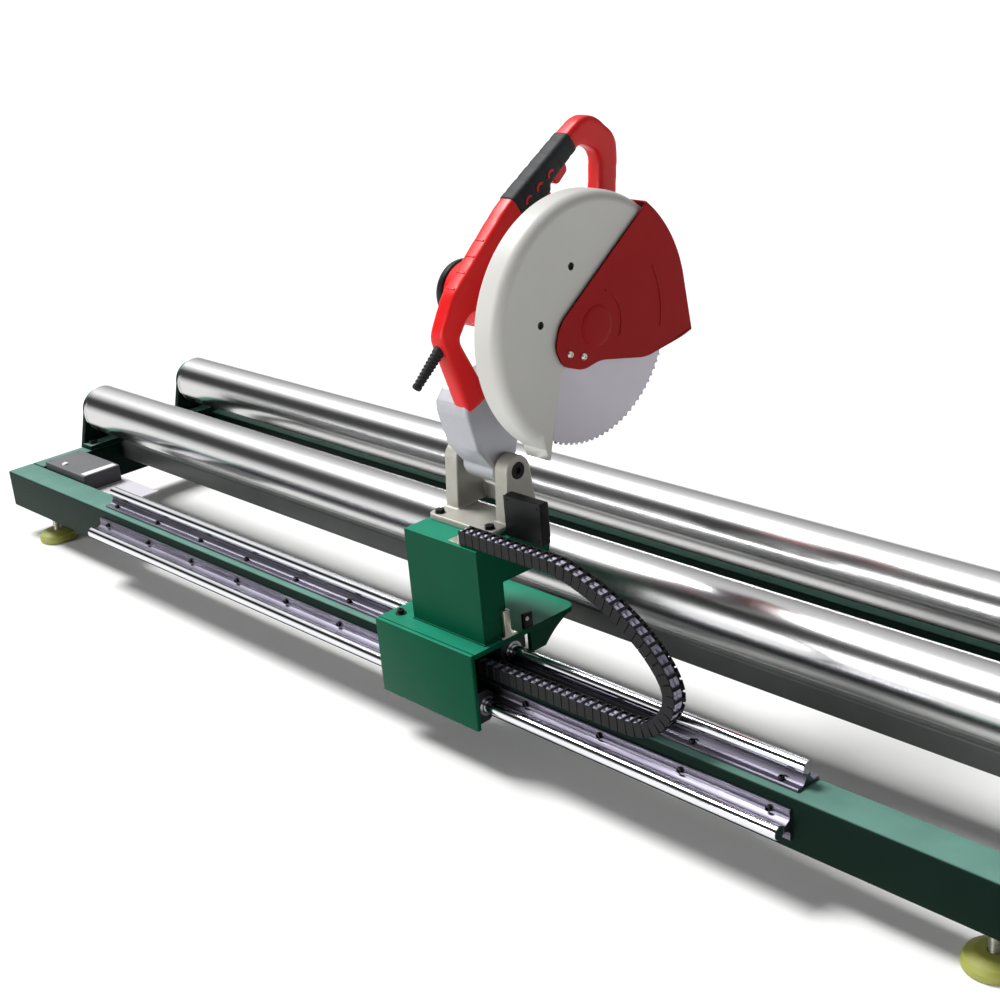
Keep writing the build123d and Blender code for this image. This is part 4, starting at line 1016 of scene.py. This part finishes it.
# %% Moving guard
low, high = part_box("lower_guard")
plate_x = low.x + 0.0465
RIM_R = 0.198


def round_off(bm, points, setback, segments=5):
    """Rounds the corners of a flat face that lie at points."""
    for y, z in about_arbor(points):
        corner = min(bm.verts, key=lambda v: (v.co.yz - Vector((y, z))).length)
        round_corner(bm, corner, setback, segments)


rest = [(209, -58), (140, -67), (99, -72), (3, -51), (-33, -57), (-72, -42), (-85, -13), (-72, 20)]
bm = arc_face(plate_x, RIM_R, 52, 6, rest, 20)
round_off(bm, [(-33, -57), (-72, -42), (-85, -13), (3, -51)], 0.011)
round_off(bm, [(-72, 20), (140, -67), (99, -72)], 0.012)
round_off(bm, [(209, -58)], 0.004)
thicken(bm, low.x - plate_x)
bm.normal_update()


def at_rim(item):
    """Whether an edge or face lies on the rim or the nose."""
    return all(from_arbor(v) > 0.19 for v in item.verts)


open_faces = [f for f in bm.faces if (abs(f.normal.x) < 0.5 and not at_rim(f))
              or (abs(f.normal.x) > 0.5 and all(v.co.x < plate_x - 0.01 for v in f.verts))]
bmesh.ops.delete(bm, geom=open_faces, context="FACES_ONLY")
bmesh.ops.delete(bm, geom=[e for e in bm.edges if not e.link_faces], context="EDGES")
fold = [e for e in bm.edges if at_rim(e) and all(abs(v.co.x - plate_x) < 1e-5 for v in e.verts)]
round_edges(bm, fold, 0.006, 4)
moving = make_piece("moving_guard_shell", bm, None, "red_guard", "lower_guard", crease=30)
thicken_sheet(moving, 0.003)
flatten_shading(moving)
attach(moving, "moving_guard")
bm = bmesh.new()
hub = [(-0.0005, 0.0), (-0.0005, 0.031), (0.0004, 0.0306), (0.0012, 0.028), (0.0016, 0.022), (0.0016, 0.0)]
add_turned(bm, hub, along_x(plate_x, arbor.y, arbor.z), 48)
for radius, first, sweep in ((0.052, -30, 95), (0.138, -14, 40)):
    add_open_ring(bm, plate_x - 0.0004, arbor, radius - 0.0016, radius + 0.0016, radians(first),
                  radians(sweep), 0.0014)
make_piece("moving_guard_ribs", bm, "moving_guard", "red_guard", crease=40)
bm = bmesh.new()
for y, z in about_arbor([(-58, -27), (-31, -37)]):
    add_turned(bm,
               [(-0.001, 0.0055), (0.0012, 0.0055), (0.0028, 0.0047), (0.0038, 0.0034), (0.0038, 0.0024),
                    (0.0022, 0.002), (0.0022, 0)], along_x(plate_x, y, z), 24)
make_piece("moving_guard_screws", bm, "moving_guard", "fastener_zinc", "guard_screws")
print("moving guard", len(moving.data.polygons), "faces")

# %% [markdown]
# ## Blade tips
# The blade's disc keeps the model's mesh. Each tooth carries a brazed tip, a little wider than the disc so
# that the cut clears it. One small block is copied round the edge.

# %% Tips
TEETH = 100
PROUD = 0.0003
low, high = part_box("saw_blade")
blade_r = (high.z - low.z) / 2
bm = bmesh.new()
for index in range(TEETH):
    tip = bmesh.new()
    add_block(tip, (low.x - PROUD, -0.0011, blade_r - 0.0042), (high.x + PROUD, 0.0011, blade_r - 0.0002),
              0.0003, 1)
    place = along_x(0, arbor.y, arbor.z) @ Matrix.Rotation(radians(360 / TEETH * index - 90.5), 4, "X")
    absorb(bm, tip, place)
make_piece("blade_tips", bm, "blade_set", "blade_steel", finish_name="bearing_steel")
print(TEETH, "tips at", round(blade_r, 4))

# %% [markdown]
# ## Handle
# The handle is two moulded shells: a leg, a shell beside the motor, and a closed loop for the hand. Its
# side view is one outline with a hole. Extruded, remeshed and smoothed, it gets the full rounding of a part
# that is made for a hand.

# %% Handle shell
shell_low, shell_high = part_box("handle_shell_left"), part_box("handle_shell_right")
left_x, right_x = shell_low[0].x, shell_high[1].x
OUTER = [(-147, -116), (-186, 8), (-155, 64), (-35, 171), (108, 258), (144, 278), (204, 228), (192, 138),
         (132, 48), (-38, 48), (-128, 28), (-150, -2), (-101, -98)]
OUTER_R = [6, 30, 60, 200, 60, 38, 38, 60, 30, 40, 20, 12, 6]
LOOP = [(46, 180), (122, 231), (162, 213), (154, 143), (82, 138)]
LOOP_R = [14, 16, 22, 20, 30]
bm = outline(about_arbor(OUTER), [r / 1000 for r in OUTER_R], left_x)
thicken(bm, right_x - left_x)
handle = make_piece("handle_shells", bm, None, "red_plastic", "handle_shell_left", "handle_shell_right",
                    crease=180)
bm = outline(about_arbor(LOOP), [r / 1000 for r in LOOP_R], left_x - 0.01)
thicken(bm, right_x - left_x + 0.02)
cut_away(handle, make_piece("loop_cutter", bm, None, "red_plastic"))
round_skin(handle, 3.0, 34)
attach(handle, "head")
print("handle", len(handle.data.polygons), "faces")

# %% [markdown]
# ## Rubber grip
# A rubber sleeve is moulded over the top of the loop. It is a slice of the handle's own skin between three
# planes, pushed out by the rubber's thickness, with a groove every 28 mm where the fingers settle.

# %% Grip sleeve
GRIP_START = Vector((0, arbor.y - 0.035, arbor.z + 0.171))
GRIP_DIR = Vector((0, 0.143, 0.087)).normalized()
GRIP_DOWN = Vector((0, GRIP_DIR.z, -GRIP_DIR.y))


def on_grip(along_mm, below_mm, x=0.0):
    """Point at a distance along the grip and a depth under its upper side, in millimetres."""
    return Vector((x, 0, 0)) + GRIP_START + GRIP_DIR * along_mm / 1000 + GRIP_DOWN * below_mm / 1000


bm = bmesh.new()
bm.from_mesh(handle.data)
for point, normal in ((on_grip(12, 0), -GRIP_DIR), (on_grip(152, 0), GRIP_DIR),
                      (on_grip(0, 41), GRIP_DOWN)):
    everything = bm.verts[:] + bm.edges[:] + bm.faces[:]
    bmesh.ops.bisect_plane(bm, geom=everything, plane_co=point, plane_no=normal, clear_outer=True)
    bmesh.ops.holes_fill(bm, edges=[e for e in bm.edges if e.is_boundary], sides=0)
bm.normal_update()
for vert in bm.verts:
    along = (vert.co - GRIP_START).dot(GRIP_DIR) * 1000
    groove = max(0.0, 1 - abs((along - 12) % 28 - 14) / 3.0)
    vert.co += vert.normal * (0.0016 - 0.0013 * groove)
sleeve = make_piece("grip_sleeve", bm, None, "grip_rubber", "handle_grip", crease=180)
round_skin(sleeve, 1.7, 5)
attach(sleeve, "head")
bm = bmesh.new()
for along in (34, 62, 90):
    centre = on_grip(along, 24)
    add_open_ring(bm, right_x - 0.0006, centre, 0.0052, 0.0088, radians(60), radians(150), 0.0028)
    add_open_ring(bm, left_x - 0.0022, centre, 0.0052, 0.0088, radians(60), radians(150), 0.0028)
make_piece("grip_inlays", bm, "head", "red_plastic")
print("sleeve", len(sleeve.data.polygons), "faces")

# %% [markdown]
# ## Handle ribs, trigger and cable boot
# Short raised ribs cross the shell beside the motor. The trigger is a paddle under the grip. The supply
# cable enters through a ringed rubber boot, which bends without kinking; its ribs are turned in one profile.

# %% Ribs, trigger, boot
SHELL_SLOPE = 0.892
bm = bmesh.new()
for y in (-146, -125, -104, -83):
    z = 64 + (y + 155) * SHELL_SLOPE
    rib = bmesh.new()
    add_block(rib, (left_x + 0.007, -0.0016, -0.003), (right_x - 0.007, 0.0016, 0.0008), 0.0009)
    place = along_x(0, arbor.y + y / 1000, arbor.z + z / 1000)
    absorb(bm, rib, place @ Matrix.Rotation(radians(41.7), 4, "X"))
make_piece("handle_ribs", bm, "head", "red_plastic", crease=60)
low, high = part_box("trigger")
corners = [on_grip(88, 18), on_grip(132, 18), on_grip(126, 47.5), on_grip(96, 51.5)]
bm = outline([(p.y, p.z) for p in corners], [0.002, 0.002, 0.008, 0.008], low.x)
thicken(bm, high.x - low.x)
sides = [e for e in bm.edges if abs(e.verts[0].co.x - e.verts[1].co.x) < 1e-6]
round_edges(bm, sides, 0.002, 3)
make_piece("trigger_paddle", bm, "trigger_lever", "red_plastic", "trigger")
boot_top, boot_end = [Vector((middle("cable_boot").x, y, z)) for y,
                      z in about_arbor([(-174, -8), (-228, -55)])]
reach = (boot_end - boot_top).length
profile = [(0, 0), (0, 0.0092)]
for index in range(9):
    at = 0.012 + index * 0.0062
    r = 0.0093 - 0.0024 * at / reach
    profile += [(at, r), (at + 0.0012, r - 0.0011), (at + 0.0034, r - 0.0011), (at + 0.0046, r)]
profile += [(reach - 0.001, 0.0068), (reach, 0.006), (reach, 0.0042), (reach - 0.006, 0.0036),
            (reach - 0.006, 0)]
bm = bmesh.new()
turn = (boot_end - boot_top).to_track_quat("X", "Z").to_matrix().to_4x4()
add_turned(bm, profile, Matrix.Translation(boot_top) @ turn, 32)
make_piece("cable_sleeve", bm, "head", "grip_rubber", "cable_boot")
print("handle details done")

# %% [markdown]
# ## Floor, lights and camera
# A pale studio floor and a wide soft sky. Polished rollers show the room, so the sky has a darker band
# in front of the machine, as a black studio flag gives, which draws the dark line along each roller. The
# angle about X sets the brightness, and only glossy rays see the bands.

# %% Floor and sky
bm = bmesh.new()
bmesh.ops.create_grid(bm, x_segments=2, y_segments=2, size=40.0)
mesh = bpy.data.meshes.new("floor")
bm.to_mesh(mesh)
bm.free()
floor = bpy.data.objects.new("floor", mesh)
bpy.context.collection.objects.link(floor)
pale = bpy.data.materials.new("pale_studio_floor")
pale.use_nodes = True
pale.node_tree.nodes["Principled BSDF"].inputs["Base Color"].default_value = paint("f4f4f2")
pale.node_tree.nodes["Principled BSDF"].inputs["Roughness"].default_value = 0.9
mesh.materials.append(pale)

world = bpy.data.worlds.new("studio")
bpy.context.scene.world = world
world.use_nodes = True
look = add_node(world, "ShaderNodeTexCoord").outputs["Generated"]
parts = add_node(world, "ShaderNodeSeparateXYZ", {}, {0: look}).outputs
angle = add_node(world, "ShaderNodeMath", {"operation": "ARCTAN2"}, {0: parts[2], 1: parts[1]}).outputs[0]
share = add_node(world, "ShaderNodeMath", {"operation": "DIVIDE", 1: pi}, {0: angle}).outputs[0]
ramp = add_node(world, "ShaderNodeValToRGB", {}, {0: share})
rays = add_node(world, "ShaderNodeLightPath").outputs
sheen = add_node(world, "ShaderNodeMix", {"data_type": "RGBA", 6: (0.12, 0.12, 0.125, 1)},
                 {0: rays["Is Glossy Ray"], 7: ramp.outputs[0]}).outputs[2]
backdrop = add_node(world, "ShaderNodeMix", {"data_type": "RGBA", 7: (0.98, 0.98, 0.98, 1)},
                    {0: rays["Is Camera Ray"], 6: sheen}).outputs[2]
world.node_tree.links.new(backdrop, world.node_tree.nodes["Background"].inputs[0])
SKY = [(0.0, 0.3), (0.1, 0.45), (0.3, 0.9), (0.5, 0.95), (0.62, 0.5), (0.68, 0.02), (0.87, 0.02),
       (0.93, 0.6),
       (0.98, 1.0)]
bands = ramp.color_ramp.elements
while len(bands) < len(SKY):
    bands.new(0.5)
for band, (place, level) in zip(bands, SKY):
    band.position = place
    band.color = (level, level, level, 1)
print(len(SKY), "bands in the sky")

# %% [markdown]
# ## Suns and camera
# Two wide suns give soft light: one from above, one low from the operator's side. The camera stands in
# front to the right, a little above the saw, tilted slightly.


# %% Suns and camera
def add_sun(name, towards, angle, power):
    """Soft sun that shines towards a direction."""
    lamp = bpy.data.lights.new(name, "SUN")
    lamp.angle = radians(angle)
    lamp.energy = power
    light = bpy.data.objects.new(name, lamp)
    bpy.context.collection.objects.link(light)
    light.rotation_euler = Vector(towards).to_track_quat("-Z", "Y").to_euler()


add_sun("key", (0.55, 0.05, -0.83), 24, 4.2)
add_sun("front", (0.3, 0.93, -0.24), 30, 1.5)

camera = bpy.data.objects.new("camera", bpy.data.cameras.new("camera"))
bpy.context.collection.objects.link(camera)
camera.data.lens = 58.09
camera.data.sensor_width = 36.0
camera.data.clip_end = 200.0
azimuth, elevation, roll = radians(48.47), radians(21.29), radians(-5.27)
ahead = Vector((-sin(azimuth) * cos(elevation), cos(azimuth) * cos(elevation), -sin(elevation)))
side = ahead.cross(Vector((0, 0, 1))).normalized()
above = side.cross(ahead)
right = cos(roll) * side + sin(roll) * above
up = -sin(roll) * side + cos(roll) * above
stand = Matrix.Translation((1.9543, -1.6759, 1.2673))
camera.matrix_world = stand @ Matrix((right, up, -ahead)).transposed().to_4x4()
bpy.context.scene.camera = camera
bpy.context.scene.view_settings.view_transform = "Standard"
print("camera at", [round(v, 3) for v in camera.location])
